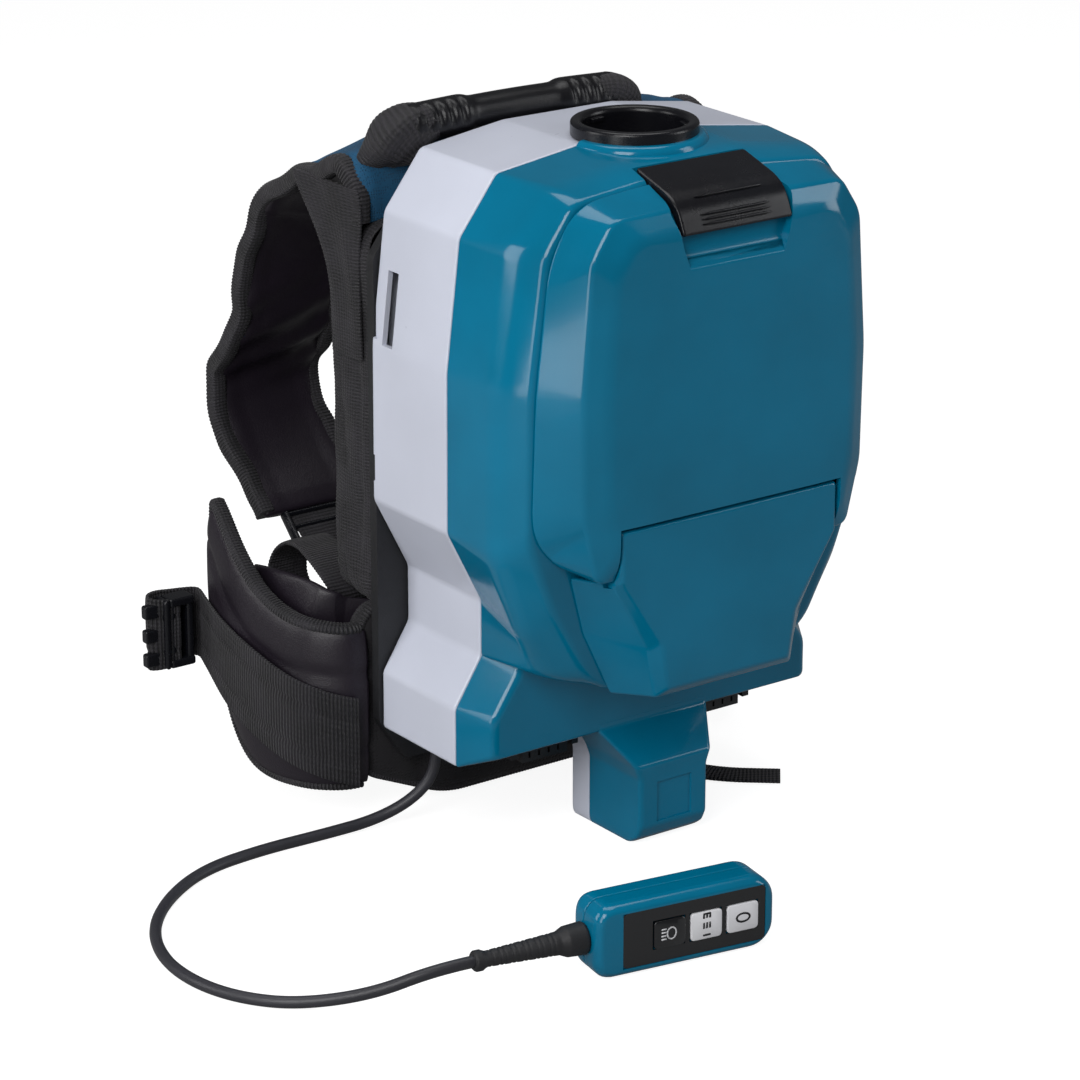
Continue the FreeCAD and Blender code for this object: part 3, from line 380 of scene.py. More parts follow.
def add_object(name, data):
    """New object with that data, linked to the scene."""
    made = bpy.data.objects.new(name, data)
    bpy.context.scene.collection.objects.link(made)
    return made


def mesh_piece(lump, name, body, slot, finishes, replaces=(), bevel=0.0):
    """Piece from a lump, welded, with outward normals, flow coordinates in metres and the named materials."""
    mesh = bpy.data.meshes.new(name)
    points = np.vstack(lump.points) * MM
    mesh.from_pydata(points.tolist(), [], lump.faces)
    flow = mesh.attributes.new("flow", "FLOAT_VECTOR", "POINT")
    flow.data.foreach_set("vector", np.column_stack([np.vstack(lump.flow) * MM, np.zeros(len(points))])
                          .astype(np.float32).ravel())
    mesh.polygons.foreach_set("material_index", np.array(lump.marks, np.int32))
    work = bmesh.new()
    work.from_mesh(mesh)
    bmesh.ops.remove_doubles(work, verts=work.verts, dist=1e-6)
    bmesh.ops.dissolve_degenerate(work, edges=work.edges, dist=1e-7)
    loose = [edge for edge in work.edges if not edge.link_faces]
    bmesh.ops.delete(work, geom=loose, context="EDGES")
    bmesh.ops.recalc_face_normals(work, faces=work.faces)
    work.to_mesh(mesh)
    work.free()
    piece = add_object(name, mesh)
    for finish in finishes:
        mesh.materials.append(materials()[finish])
    mesh.polygons.foreach_set("use_smooth", np.ones(len(mesh.polygons), bool))
    if bevel:
        edge = piece.modifiers.new("Edge", "BEVEL")
        edge.width, edge.segments = bevel * MM, 2
        edge.limit_method, edge.angle_limit = "ANGLE", EDGE_ANGLE
        edge.use_clamp_overlap = True
        weight = piece.modifiers.new("Weight", "WEIGHTED_NORMAL")
        weight.keep_sharp = False
    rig.ride(piece, body)
    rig.slot(piece, slot)
    if replaces:
        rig.replaces(piece, *replaces)
    return piece


def carve(piece, lumps, operation="DIFFERENCE"):
    """Cuts closed lumps out of a piece, or keeps what they share with it, and stores the result as its mesh."""
    for number, lump in enumerate(lumps):
        tool_mesh = bpy.data.meshes.new("tool")
        tool_mesh.from_pydata((np.vstack(lump.points) * MM).tolist(), [], lump.faces)
        work = bmesh.new()
        work.from_mesh(tool_mesh)
        bmesh.ops.recalc_face_normals(work, faces=work.faces)
        work.to_mesh(tool_mesh)
        work.free()
        tool = add_object("tool", tool_mesh)
        cut = piece.modifiers.new(f"Cut{number}", "BOOLEAN")
        cut.operation, cut.solver, cut.object = operation, "EXACT", tool
        piece.modifiers.move(len(piece.modifiers) - 1, 0)
        others = [m for m in piece.modifiers if m != cut]
        shown = [m.show_viewport for m in others]
        for m in others:
            m.show_viewport = False
        graph = bpy.context.evaluated_depsgraph_get()
        graph.update()
        result = bpy.data.meshes.new_from_object(piece.evaluated_get(graph), depsgraph=graph)
        for m, was in zip(others, shown):
            m.show_viewport = was
        piece.modifiers.remove(cut)
        if len(result.polygons) < 4:
            raise RuntimeError(f"cut {number} left nothing of {piece.name}")
        result.polygons.foreach_set("use_smooth", np.ones(len(result.polygons), bool))
        piece.data = result
        bpy.data.objects.remove(tool)


def block(x, y, z, reach=0.0):
    """Closed box between the pairs x, y and z, its vertical edges rounded by reach."""
    ring = np.array([(x[0], y[0]), (x[1], y[0]), (x[1], y[1]), (x[0], y[1])], float)
    if reach:
        ring = round_corners(ring, reach, 5, True)
    levels = np.stack([np.column_stack([ring, np.full(len(ring), float(level))]) for level in z])
    return Lump().grid(levels, caps=True)


def node(tree, kind, **inputs):
    """Shader node with its inputs set by name or by number (i0, i1), and its own settings by _name. Two
    underscores stand for a space, and an input given as a socket is linked."""
    made = tree.nodes.new(kind)
    for key, value in inputs.items():
        if key.startswith("_"):
            setattr(made, key[1:], value)
            continue
        numbered = key[0] == "i" and key[1:].isdigit()
        socket = made.inputs[int(key[1:]) if numbered else key.replace("__", " ")]
        if isinstance(value, bpy.types.NodeSocket):
            tree.links.new(value, socket)
        else:
            socket.default_value = value
    return made


def linear(colour):
    """Linear light of an sRGB colour given from 0 to 255, ((c + 0.055) / 1.055) ^ 2.4."""
    c = np.array(colour, float) / 255
    return tuple(np.where(c <= 0.04045, c / 12.92, ((c + 0.055) / 1.055) ** 2.4)) + (1.0,)


def blank_material(name):
    """New node material, its tree and its shader."""
    material = bpy.data.materials.new(name)
    material.use_nodes = True
    tree = material.node_tree
    return material, tree, tree.nodes["Principled BSDF"]


def mixed(tree, factor, low, high):
    """Colour low + factor (high - low)."""
    return node(tree, "ShaderNodeMix", _data_type="RGBA", i0=factor, i6=low, i7=high).outputs[2]


def spread(tree, value, low, high, to_low, to_high):
    """Value carried from the range low to high to the range to_low to to_high, and held at its ends."""
    return node(tree, "ShaderNodeMapRange", i0=value, i1=low, i2=high, i3=to_low, i4=to_high).outputs[0]


def noise(tree, place, scale, detail, roughness=0.5):
    """Noise from 0 to 1 at that many waves to the metre."""
    return node(tree, "ShaderNodeTexNoise", Vector=place, Scale=scale, Detail=detail,
                Roughness=roughness).outputs["Fac"]


def math_node(tree, operation, *values):
    """Result of one arithmetic node."""
    inputs = {f"i{number}": value for number, value in enumerate(values)}
    return node(tree, "ShaderNodeMath", _operation=operation, **inputs).outputs[0]


def moulded(name, colour, shade, rough, grain, grain_size, coat=0.0, metal=0.0, gloss=0.5):
    """Moulded plastic or metal: cloudy colour between two shades, uneven gloss, a fine grain and faint sink."""
    material, tree, shader = blank_material(name)
    place = node(tree, "ShaderNodeTexCoord").outputs["Object"]
    cloud = noise(tree, place, 14.0, 3.0)
    smear = noise(tree, place, 70.0, 5.0, 0.65)
    fine = noise(tree, place, 1000.0 / grain_size, 2.0)
    tint = mixed(tree, spread(tree, cloud, 0.3, 0.7, 0.0, 1.0), linear(shade), linear(colour))
    tree.links.new(tint, shader.inputs["Base Color"])
    tree.links.new(spread(tree, smear, 0.2, 0.85, rough * 0.88, rough * 1.16), shader.inputs["Roughness"])
    bump = node(tree, "ShaderNodeBump", Strength=grain, Distance=0.00025, Height=fine)
    swell = node(tree, "ShaderNodeBump", Strength=0.02, Distance=0.001, Height=cloud, Normal=bump.outputs[0])
    tree.links.new(swell.outputs[0], shader.inputs["Normal"])
    shader.inputs["Metallic"].default_value = metal
    shader.inputs["Coat Weight"].default_value = coat
    shader.inputs["Specular IOR Level"].default_value = gloss
    shader.inputs["Coat Roughness"].default_value = 0.04
    return material


def mesh_cloth(name, colour, shade, cell, fuzz=0.06):
    """Spacer mesh: round holes from a cell pattern of that size in millimetres, darker in the holes."""
    material, tree, shader = blank_material(name)
    place = node(tree, "ShaderNodeTexCoord").outputs["Object"]
    cells = node(tree, "ShaderNodeTexVoronoi", Vector=place, Scale=1000.0 / cell, Randomness=0.35)
    hole = spread(tree, cells.outputs["Distance"], 0.18, 0.42, 0.0, 1.0)
    worn = noise(tree, place, 28.0, 6.0, 0.6)
    # painted shade: the holes take the darker shade colour
    tint = mixed(tree, hole, linear(shade), linear(colour))
    bleached = linear([min(255, c * 1.7 + 8) for c in colour])
    pale = mixed(tree, spread(tree, worn, 0.35, 0.8, 0.0, 0.35), tint, bleached)
    tree.links.new(pale, shader.inputs["Base Color"])
    tree.links.new(spread(tree, worn, 0.2, 0.8, 0.7, 0.95), shader.inputs["Roughness"])
    bump = node(tree, "ShaderNodeBump", Strength=0.5, Distance=0.0006, Height=hole)
    crease = node(tree, "ShaderNodeBump", Strength=0.35, Distance=0.004, Height=worn, Normal=bump.outputs[0])
    tree.links.new(crease.outputs[0], shader.inputs["Normal"])
    shader.inputs["Sheen Weight"].default_value = fuzz
    shader.inputs["Sheen Roughness"].default_value = 0.5
    return material


def woven(name, colour, shade, pitch, fuzz=0.06):
    """Ribbed webbing: ribs across the strip at that pitch, from the flow coordinates, with a twill between."""
    material, tree, shader = blank_material(name)
    flow = node(tree, "ShaderNodeAttribute", _attribute_name="flow").outputs["Vector"]
    place = node(tree, "ShaderNodeTexCoord").outputs["Object"]
    parts = node(tree, "ShaderNodeSeparateXYZ", Vector=flow)
    turn = 2 * math.pi * 1000 / pitch
    wobble = math_node(tree, "MULTIPLY", noise(tree, place, 120.0, 3.0), 3.0)
    rib = math_node(tree, "SINE", math_node(tree, "MULTIPLY_ADD", parts.outputs[0], turn, wobble))
    yarn = math_node(tree, "SINE", math_node(tree, "MULTIPLY", parts.outputs[1], turn * 0.9))
    both = math_node(tree, "MULTIPLY_ADD", yarn, 0.35, rib)
    worn = noise(tree, place, 45.0, 6.0, 0.6)
    # painted shade: the grooves between the ribs and the twill's yarns take the dark shade colour
    tint = mixed(tree, spread(tree, both, -1.0, 1.1, 0.0, 1.0), linear(shade), linear(colour))
    bleached = linear([min(255, c * 1.6 + 10) for c in colour])
    pale = mixed(tree, spread(tree, worn, 0.4, 0.8, 0.0, 0.4), tint, bleached)
    tree.links.new(pale, shader.inputs["Base Color"])
    tree.links.new(spread(tree, worn, 0.2, 0.8, 0.55, 0.85), shader.inputs["Roughness"])
    bump = node(tree, "ShaderNodeBump", Strength=0.6, Distance=0.0005, Height=both)
    tree.links.new(bump.outputs[0], shader.inputs["Normal"])
    shader.inputs["Sheen Weight"].default_value = fuzz
    return material


# Short name, name, colour, second colour, roughness, grain, grain size in mm and the shader's other settings
MOULDED = [
    ("black", "black plastic", (20, 21, 26), (14, 14, 18), 0.26, 0.2, 0.4, {"gloss": 0.35}),
    ("grip", "soft grip", (17, 17, 21), (11, 11, 14), 0.34, 0.4, 0.7, {"gloss": 0.35}),
    ("dull", "dull black plastic", (30, 31, 34), (20, 20, 23), 0.55, 0.7, 0.6, {}),
    ("panel", "panel film", (20, 21, 25), (14, 15, 18), 0.25, 0.1, 0.3, {"coat": 0.4}),
    ("key", "key plastic", (236, 236, 238), (222, 222, 226), 0.35, 0.2, 0.3, {}),
    ("ink", "key print", (28, 28, 32), (20, 20, 24), 0.4, 0.1, 0.3, {}),
    ("rubber", "rubber", (34, 34, 37), (24, 24, 27), 0.6, 0.5, 0.5, {}),
    ("steel", "steel", (186, 188, 190), (150, 152, 156), 0.3, 0.2, 0.3, {"metal": 1.0}),
    ("aluminium", "aluminium", (200, 202, 205), (170, 172, 176), 0.38, 0.3, 0.4, {"metal": 1.0}),
    ("copper", "copper wire", (196, 112, 62), (148, 76, 40), 0.35, 0.8, 0.8, {"metal": 1.0}),
    ("card", "bag card", (176, 150, 112), (156, 130, 94), 0.8, 0.8, 0.9, {}),
    ("board", "board", (20, 84, 56), (14, 62, 42), 0.45, 0.3, 0.9, {}),
    ("satin", "satin lining", (33, 27, 36), (24, 19, 27), 0.42, 0.6, 0.8, {"gloss": 0.4}),
    ("cord", "cord sheath", (52, 52, 58), (40, 40, 45), 0.42, 0.4, 0.5, {}),
]
# Short name, name, colour, painted shade colour in the holes, hole size in mm, fuzz
MESHES = [
    ("fleece", "bag fleece", (226, 222, 212), (204, 198, 186), 0.8, 0.06),
    ("pleats", "filter paper", (234, 232, 224), (216, 212, 202), 0.5, 0.2),
    ("mesh", "spacer mesh", (17, 15, 19), (6, 5, 8), 2.2, 0.06),
    ("strap teal", "teal strap cloth", (4, 62, 92), (2, 46, 70), 1.4, 0.02),
]
# Short name, name, colour, painted shade colour between the ribs, rib pitch in mm
WOVEN = [
    ("webbing", "ribbed webbing", (30, 28, 33), (7, 7, 9), 2.0),
    ("binding", "ribbed binding", (32, 30, 35), (7, 7, 9), 1.8),
]


def materials():
    """The scene's materials by short name, made once."""
    made = materials.made
    if made:
        return made
    look = bpy.context.scene.vacuum_look
    teal, white = list(look.teal), list(look.white)
    made["teal"] = moulded("teal plastic", teal, [c * 0.9 for c in teal], 0.13, 0.04, 0.5, coat=0.1, gloss=0.34)
    made["white"] = moulded("white plastic", white, [c * 0.965 for c in white], 0.3, 0.12, 0.45, coat=0.15)
    for short, name, colour, shade, rough, grain, grain_size, more in MOULDED:
        made[short] = moulded(name, colour, shade, rough, grain, grain_size, **more)
    for short, name, colour, shade, cell, fuzz in MESHES:
        made[short] = mesh_cloth(name, colour, shade, cell, fuzz)
    for short, name, colour, shade, pitch in WOVEN:
        made[short] = woven(name, colour, shade, pitch)
    return made


materials.made = {}

SLOT_FINISH = {
    "housing_white": "white", "housing_teal": "teal", "black_plastic": "dull", "panel_black": "panel",
    "key_white": "key", "rubber": "rubber", "steel": "steel", "aluminium": "aluminium",
    "copper_windings": "copper", "bag_fleece": "fleece", "bag_card": "card", "filter_paper": "pleats",
    "circuit_board": "board", "pad_mesh": "mesh", "strap_fabric": "mesh", "webbing": "webbing",
}


# ---------------------------------------------------------------- stage, camera and cord

# The stage, in metres: the floor's corners, then for each soft box its name, place, width and height, share
# of the key light's power, and colour
FLOOR_CORNERS = [(-9, -7, 0), (14, -7, 0), (14, 16, 0), (-9, 16, 0)]
LIGHTS = [
    ("key", (-1.6, -1.1, 1.5), (1.0, 1.3), 1.0, (1, 1, 1)),
    ("fill", (1.7, -1.3, 0.9), (0.7, 1.5), 0.45, (0.97, 0.98, 1)),
    ("top", (0.1, 0.2, 2.1), (1.6, 1.0), 0.55, (1, 1, 1)),
    ("left", (-1.9, 0.8, 0.8), (0.8, 1.2), 0.4, (1, 1, 1)),
    ("strip", (-1.15, -0.42, 0.36), (0.3, 0.62), 0.08, (1, 1, 1)),
]
LIGHT_TARGET = (-0.03, 0.02, 0.17)
CAMERA_PLACE = (-1.1742, -1.5403, 0.8395)
CAMERA_TARGET = (-0.0576, 0.0, 0.1650)


def aim(item, target):
    """Turns an object so that its -Z axis points at the target."""
    item.rotation_mode = "QUATERNION"
    item.rotation_quaternion = (Vector(target) - item.location).to_track_quat("-Z", "Y")


def make_stage(look):
    """Pale floor that glows to the camera, soft boxes, grey-white surroundings and the camera."""
    mesh = bpy.data.meshes.new("floor")
    mesh.from_pydata(FLOOR_CORNERS, [], [[0, 1, 2, 3]])
    plane = add_object("floor", mesh)
    material, tree, shader = blank_material("floor paint")
    shader.inputs["Base Color"].default_value = (0.3, 0.3, 0.3, 1)
    shader.inputs["Roughness"].default_value = 0.9
    shader.inputs["Specular IOR Level"].default_value = 0.1
    shader.inputs["Emission Color"].default_value = (1, 1, 1, 1)
    seen = node(tree, "ShaderNodeLightPath").outputs["Is Camera Ray"]
    tree.links.new(spread(tree, seen, 0.0, 1.0, 0.04, 0.9), shader.inputs["Emission Strength"])
    mesh.materials.append(material)
    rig.stage(plane)
    world = bpy.data.worlds.new("studio")
    bpy.context.scene.world = world
    world.use_nodes = True
    world.node_tree.nodes["Background"].inputs["Color"].default_value = (0.97, 0.98, 1.0, 1)
    world.node_tree.nodes["Background"].inputs["Strength"].default_value = look.surroundings
    for name, place, size, share, colour in LIGHTS:
        data = bpy.data.lights.new(name, "AREA")
        data.shape, data.size, data.size_y = "RECTANGLE", size[0], size[1]
        data.energy, data.color = look.key_light * share, colour
        lamp = add_object(name, data)
        lamp.location = place
        aim(lamp, LIGHT_TARGET)
    data = bpy.data.cameras.new("camera")
    data.lens, data.sensor_width = look.lens, 36.0
    camera = add_object("camera", data)
    camera.location = CAMERA_PLACE
    aim(camera, CAMERA_TARGET)
    bpy.context.scene.camera = camera
    bpy.context.scene.view_settings.view_transform = "Standard"


def make_cord(look):
    """The remote's cord as a NURBS curve, its gland and its tapered strain relief."""
    curve = bpy.data.curves.new("remote_cord", "CURVE")
    curve.dimensions = "3D"
    spline = curve.splines.new("NURBS")
    spline.points.add(len(CORD_ROUTE) - 1)
    for point, place in zip(spline.points, CORD_ROUTE):
        point.co = (*[c * MM for c in place], 1.0)
    spline.order_u = 3
    spline.use_endpoint_u = True
    spline.resolution_u = 12
    curve.bevel_depth = look.cord_radius
    curve.bevel_resolution = 6
    curve.use_fill_caps = True
    cord = add_object("remote_cord", curve)
    curve.materials.append(materials()["cord"])
    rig.ride(cord, "root")
    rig.slot(cord, "rubber")
    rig.replaces(cord, "cord")
    gland = Lump()
    profile = [(3.05, 44.4), (4.6, 44.4), (5.8, 50), (5.8, 52.5), (6.8, 54.3), (3.05, 54.3)]
    profile = round_corners(profile, 1.2, 4, True)
    gland.grid(revolve(profile, CORD_ROUTE[0][:2], 48), wrap_rows=True)
    gland_piece = mesh_piece(gland, "gland_sleeve", "root", "rubber", ["rubber"], ["cord_gland"])
    start = np.array(CORD_ROUTE[-1])
    along = np.array([math.cos(REMOTE_TURN), math.sin(REMOTE_TURN), 0.0])
    far = np.array([*REMOTE_PLACE, 0.0]) - 49.0 * along
    length = float((far - start) @ along) - 0.3
    stations = np.linspace(0, length, 120)
    radius = np.interp(stations, [0, 0.8, 4, 5, 6.5, length - 14, length - 10, length - 1, length],
                       [4.4, 5.2, 5.2, 4.6, 4.0, 5.8, 7.6, 8.2, 7.8])
    rings = (stations > 7) & (stations < length - 15)
    radius -= np.where(rings, 0.45 * (1 + np.cos(2 * math.pi * stations / 3.2)) / 2 * (stations % 6.4 < 3.2), 0)
    angle = np.linspace(0, 2 * math.pi, 40, endpoint=False)
    across = np.array([-along[1], along[0], 0.0])
    tube = (start + stations[:, None, None] * along + radius[:, None, None]
            * (np.cos(angle)[None, :, None] * across + np.sin(angle)[None, :, None] * np.array([0, 0, 1.0])))
    relief = Lump().grid(tube, caps=True)
    relief_piece = mesh_piece(relief, "relief_sleeve", "root", "rubber", ["rubber"],
                              ["remote_strain_relief"])
    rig.cord(cord, tuple(c * MM for c in CORD_ROUTE[0]), CORD_LENGTH, 0.006, "object", "medium", "loose",
            with_pieces=[relief_piece, gland_piece])


# ---------------------------------------------------------------- housing

def leg_part(y_range):
    """Half of the stand leg between two y planes: rounded rectangles stacked up z, flared at the top."""
    levels = [(0.0, 20.4, -27.0), (1.6, 21.4, -30.5), (5.0, 21.8, -35.0), (11.0, 21.8, -38.0), (38.0, 21.8, -38.0),
              (45.0, 24.4, -38.0), (48.5, 26.4, -34.6), (63.0, 35.3, -19.8), (66.0, 36.5, -19.7)]
    rows = []
    for z, half, front in levels:
        low, high = max(front, y_range[0]), y_range[1]
        ring = np.array([(-half, low), (half, low), (half, high), (-half, high)], float)
        reach = [3.0, 3.0, 0.6, 0.6] if low == front else [0.6, 0.6, 3.0, 3.0]
        rounded = round_corners(ring, reach, 5, True)
        rows.append(np.column_stack([rounded, np.full(len(rounded), z)]))
    return round_corners(np.stack(rows), 1.6, 3, False)


def make_front_housing(look):
    """Teal front: bulging bowl round the mouth, base below it, the front of the leg, and the tray under the
    latch."""
    lip = inset(whole(BOWL_PARTING), 0.7)
    sections = [at_y(lip, -0.15), at_y(whole(BOWL_PARTING), -0.9), at_y(whole(BOWL_BULGE), -40),
                at_y(whole(BOWL_SEAM), -55), at_y(inset(whole(BOWL_SEAM), 7), -55), at_y(whole(MOUTH), -55),
                at_y(whole(MOUTH), -52), at_y(inset(whole(BOWL_SEAM), 5), -52),
                at_y(inset(whole(BOWL_BULGE), WALL), -40), at_y(inset(whole(BOWL_PARTING), WALL), -0.15)]
    bowl = skin(sections, [2, 2, 6, 7, 7, 7, 7, 6, 6, 2], [0, 0.7, 9, 3.6, 0.5, 0.8, 0.8, 2, 8, 0], False)
    bowl = np.concatenate([bowl, bowl[:1]])
    base_parting, base_front = whole(BASE_PARTING), whole(BASE_FRONT)
    sections = [at_y(inset(base_parting, 0.7), -0.15), at_y(base_parting, -0.9), at_y(base_front, -19.6),
                shrunk(at_y(base_front, 0), 0.9, -19.6), shrunk(at_y(base_front, 0), 0.0, -19.6)]
    base = skin(sections, [2, 2, 4, 4, 4], [0, 0.7, 3.4, 0.5, 0], False)
    inner = skin([shrunk(at_y(base_front, 0), 0.0, -16.8), shrunk(at_y(base_front, 0), 0.9, -16.8),
                  at_y(inset(base_parting, WALL), -0.15)], [4, 4, 2], [0, 3, 0], False)
    lump = Lump().grid(bowl).grid(base).grid(inner).grid(np.stack([base[0], inner[-1]]))
    lump.grid(leg_part((-60, 5.85)), caps=True)
    piece = mesh_piece(lump, "front_skin", "root", "housing_teal", ["teal"], ["front_housing"], bevel=0.5)
    carve(piece, [ring_tool(*SOCKET_HOLE), leg_recess(),
                  block((-34.2, 34.2), (-70, -42.6), (353.4, 375), 1.0)])
    tray = Lump()
    for x, y, z in (((-36.4, 36.4), (-53.4, -40.4), (351.0, 353.2)),
                    ((-36.4, 36.4), (-42.5, -40.4), (351.4, 355.6)),
                    ((-36.4, -34.3), (-52.6, -40.6), (351.4, 354.6)),
                    ((34.3, 36.4), (-52.6, -40.6), (351.4, 354.6))):
        tray.grid(block(x, y, z, 0.4).points[0].reshape(2, -1, 3), caps=True)
    mesh_piece(tray, "latch_tray", "root", "housing_teal", ["teal"], bevel=0.2)
    return piece


def ring_tool(center, radius, z):
    """Closed cylinder about a vertical axis, as a tool."""
    return Lump().grid(revolve([(radius, z[0]), (radius, z[1])], center, 96), caps=True)


def leg_recess():
    """Shallow panel pressed into the front of the leg, as a tool."""
    return block((-11, 11), (-40, -37.1), (13, 35), 0.6)


def make_rear_shell(look):
    """White rear shell with its side slots, edge notches and the rear of the leg."""
    outline = whole(PARTING)
    middle = at_y(outline, 0)
    sections = [at_y(inset(outline, 0.7), 0.15), at_y(outline, 0.9), at_y(outline, 40), at_y(outline, 65.5),
                at_y(inset(outline, 6), 65.5), shrunk(middle, 0.0, 65.5)]
    outer = skin(sections, 2.2, [0, 0.7, 0.4, 2.4, 0.5, 0], False)
    sections = [shrunk(middle, 0.0, 62.5), at_y(inset(outline, 6), 62.5), at_y(inset(outline, WALL), 62.5),
                at_y(inset(outline, WALL), 0.15)]
    inner = skin(sections, 2.2, [0, 0.5, 2, 0], False)
    lump = Lump().grid(outer).grid(inner).grid(np.stack([outer[0], inner[-1]]))
    lump.grid(leg_part((6.15, 22.0)), caps=True)
    piece = mesh_piece(lump, "rear_skin", "root", "housing_white", ["white"], ["rear_shell"], bevel=0.6)
    tools = [ring_tool(*SOCKET_HOLE)]
    for side in (-1, 1):
        for inner_x, y, z in ((106.5, (47, 56), (263, 301)), (111, (60.5, 68), (265, 300)),
                              (111, (63, 68), (190, 204))):
            tools.append(block(sorted((side * inner_x, side * 120)), y, z))
    carve(piece, tools)
    return piece


def scoop_tool():
    """Hollow for the latch and the finger: a side profile in (y, z) carried across x, its ends splayed by
    4 mm outwards at the front."""
    profile = np.array([(-41, 372), (-41, 354.5), (-57.8, 353.2), (-66, 347.5), (-73.6, 344.3), (-77.0, 334.0),
                        (-77.8, 326), (-84.2, 318.6), (-96, 314), (-96, 372)], float)
    profile = round_corners(profile, [0, 2, 4, 4, 3, 3, 2.5, 2, 0, 0], 4, True)
    half = 34.2 + 5.0 * np.clip((-66 - profile[:, 0]) / 18, 0, 1) - 0.5 * np.clip(340 - profile[:, 1], 0, 26)
    rows = [np.column_stack([share * half, profile]) for share in (-1, 1)]
    return Lump().grid(np.stack(rows), caps=True)


def make_lid(look):
    """Teal lid: side band, crease, crowned face, notch for the cover and the scooped latch pocket."""
    seam, crease, face = whole(LID_SEAM), whole(LID_CREASE), whole(LID_FACE)
    sections = [at_y(inset(seam, 0.7), -55.6), at_y(seam, -56.4), at_y(crease, -76), at_y(face, -82),
                shrunk(at_y(face, 0), 0.66, -83.3), shrunk(at_y(face, 0), 0.3, -83.9),
                shrunk(at_y(face, 0), 0.0, -84.0)]
    outer = skin(sections, [14, 14, 5, 7, 12, 12, 12], [0, 0.8, 2.2, 4.5, 16, 10, 0], False, 6, 5)
    sections = [shrunk(at_y(face, 0), 0.0, -80.6), at_y(inset(face, WALL), -79), at_y(inset(crease, WALL), -73.5),
                at_y(inset(seam, WALL), -55.6)]
    inner = skin(sections, [10, 6, 5, 12], [0, 4, 2, 0], False, 6, 4)
    lump = Lump().grid(outer).grid(inner).grid(np.stack([outer[0], inner[-1]]))
    piece = mesh_piece(lump, "lid_skin", "lid_body", "housing_teal", ["teal"], ["lid"], bevel=0.55)
    carve(piece, [block((-68.8, 68.8), (-100, -50), (150, 195.5)), scoop_tool()])
    sections = [at_y(inset(seam, 1.5), -57.5), at_y(inset(crease, 1.5), -75.2), at_y(inset(face, 1.5), -80.9),
                shrunk(at_y(face, 0), 0.66, -82.0), shrunk(at_y(face, 0), 0.0, -82.6)]
    backing = skin(sections, [13, 5, 6, 12, 12], [0, 2.2, 4.5, 16, 0], False, 6, 5)
    lump = Lump().grid(backing)
    lump.faces.append(list(range(backing.shape[1])))
    lump.marks.append(0)
    lining = mesh_piece(lump, "lid_scoop", "lid_body", "housing_teal", ["teal"], bevel=0.4)
    carve(lining, [block((-44, 44), (-100, -66), (306, 356))], "INTERSECT")
    carve(lining, [scoop_tool()])
    return piece


def make_lower_cover(look):
    """Teal cover under the lid, with its diagonal facets and chin."""
    seam, crease, face = whole(COVER_SEAM), whole(COVER_CREASE), whole(COVER_FACE)
    sections = [at_y(inset(seam, 0.6), -55.2), at_y(seam, -55.9), at_y(crease, -76.5), at_y(face, -81.3),
                shrunk(at_y(face, 0), 0.6, -81.9), shrunk(at_y(face, 0), 0.0, -82.1)]
    outer = skin(sections, [2, 2, 2, 2, 6, 6], [0, 0.7, 1.5, 2.2, 12, 0], False, 5, 5)
    sections = [shrunk(at_y(face, 0), share, y) for share, y in ((0.0, -76.5), (0.93, -75), (0.95, -55.2))]
    inner = skin(sections, 6, [0, 2, 0], False, 5, 5)
    lump = Lump().grid(outer).grid(inner).grid(np.stack([outer[0], inner[-1]]))
    piece = mesh_piece(lump, "cover_skin", "root", "housing_teal", ["teal"], ["lower_cover"], bevel=0.5)
    carve(piece, [block(x, (-77.8, -71.0), (163.4, 172)) for x in ((68.3, 73), (-73, -68.3))])
    return piece


def make_latch(look):
    """Black latch plate bent over the lid's top edge, with grip ridges on its lower lip."""
    profile = np.array([(-44.5, 362.2), (-70, 354.6), (-78, 348.5), (-83.5, 336.5), (-80.2, 335.4),
                        (-75, 345.4), (-68.2, 350.6), (-44.5, 358.0)], float)
    profile = round_corners(profile, [1.2, 5, 5, 1.4, 1.4, 3, 3, 1.2], 5, True)
    center = profile.mean(axis=0)
    rows = []
    for x, share in ((-33.4, 0.9), (-32.9, 0.97), (-32.0, 1.0), (32.0, 1.0), (32.9, 0.97), (33.4, 0.9)):
        rows.append(np.column_stack([np.full(len(profile), x), center + share * (profile - center)]))
    lump = Lump().grid(np.stack(rows), caps=True)
    angle = np.linspace(0, 2 * math.pi, 12, endpoint=False)
    for y, z in ((-80.6, 345.0), (-81.6, 342.8), (-82.6, 340.6), (-74.0, 352.2)):
        across = np.linspace(-1, 1, 25)
        radius = 0.75 * np.sqrt(np.clip(1 - across ** 8, 0, 1))
        ridge = [np.column_stack([np.full(12, x * 21.0), y + r * np.cos(angle), z + r * np.sin(angle)])
                 for x, r in zip(across, np.maximum(radius, 0.02))]
        lump.grid(np.stack(ridge), caps=True)
    turn = np.linspace(0, 2 * math.pi, 24, endpoint=False)
    boss = [np.column_stack([np.full(24, x), -61.5 + 3.2 * np.cos(turn), 351 + 3.2 * np.sin(turn)])
            for x in (-20.0, 20.0)]
    lump.grid(np.stack(boss), caps=True)
    return mesh_piece(lump, "latch_plate", "latch_body", "black_plastic", ["black"], ["lid_latch"], bevel=0.3)


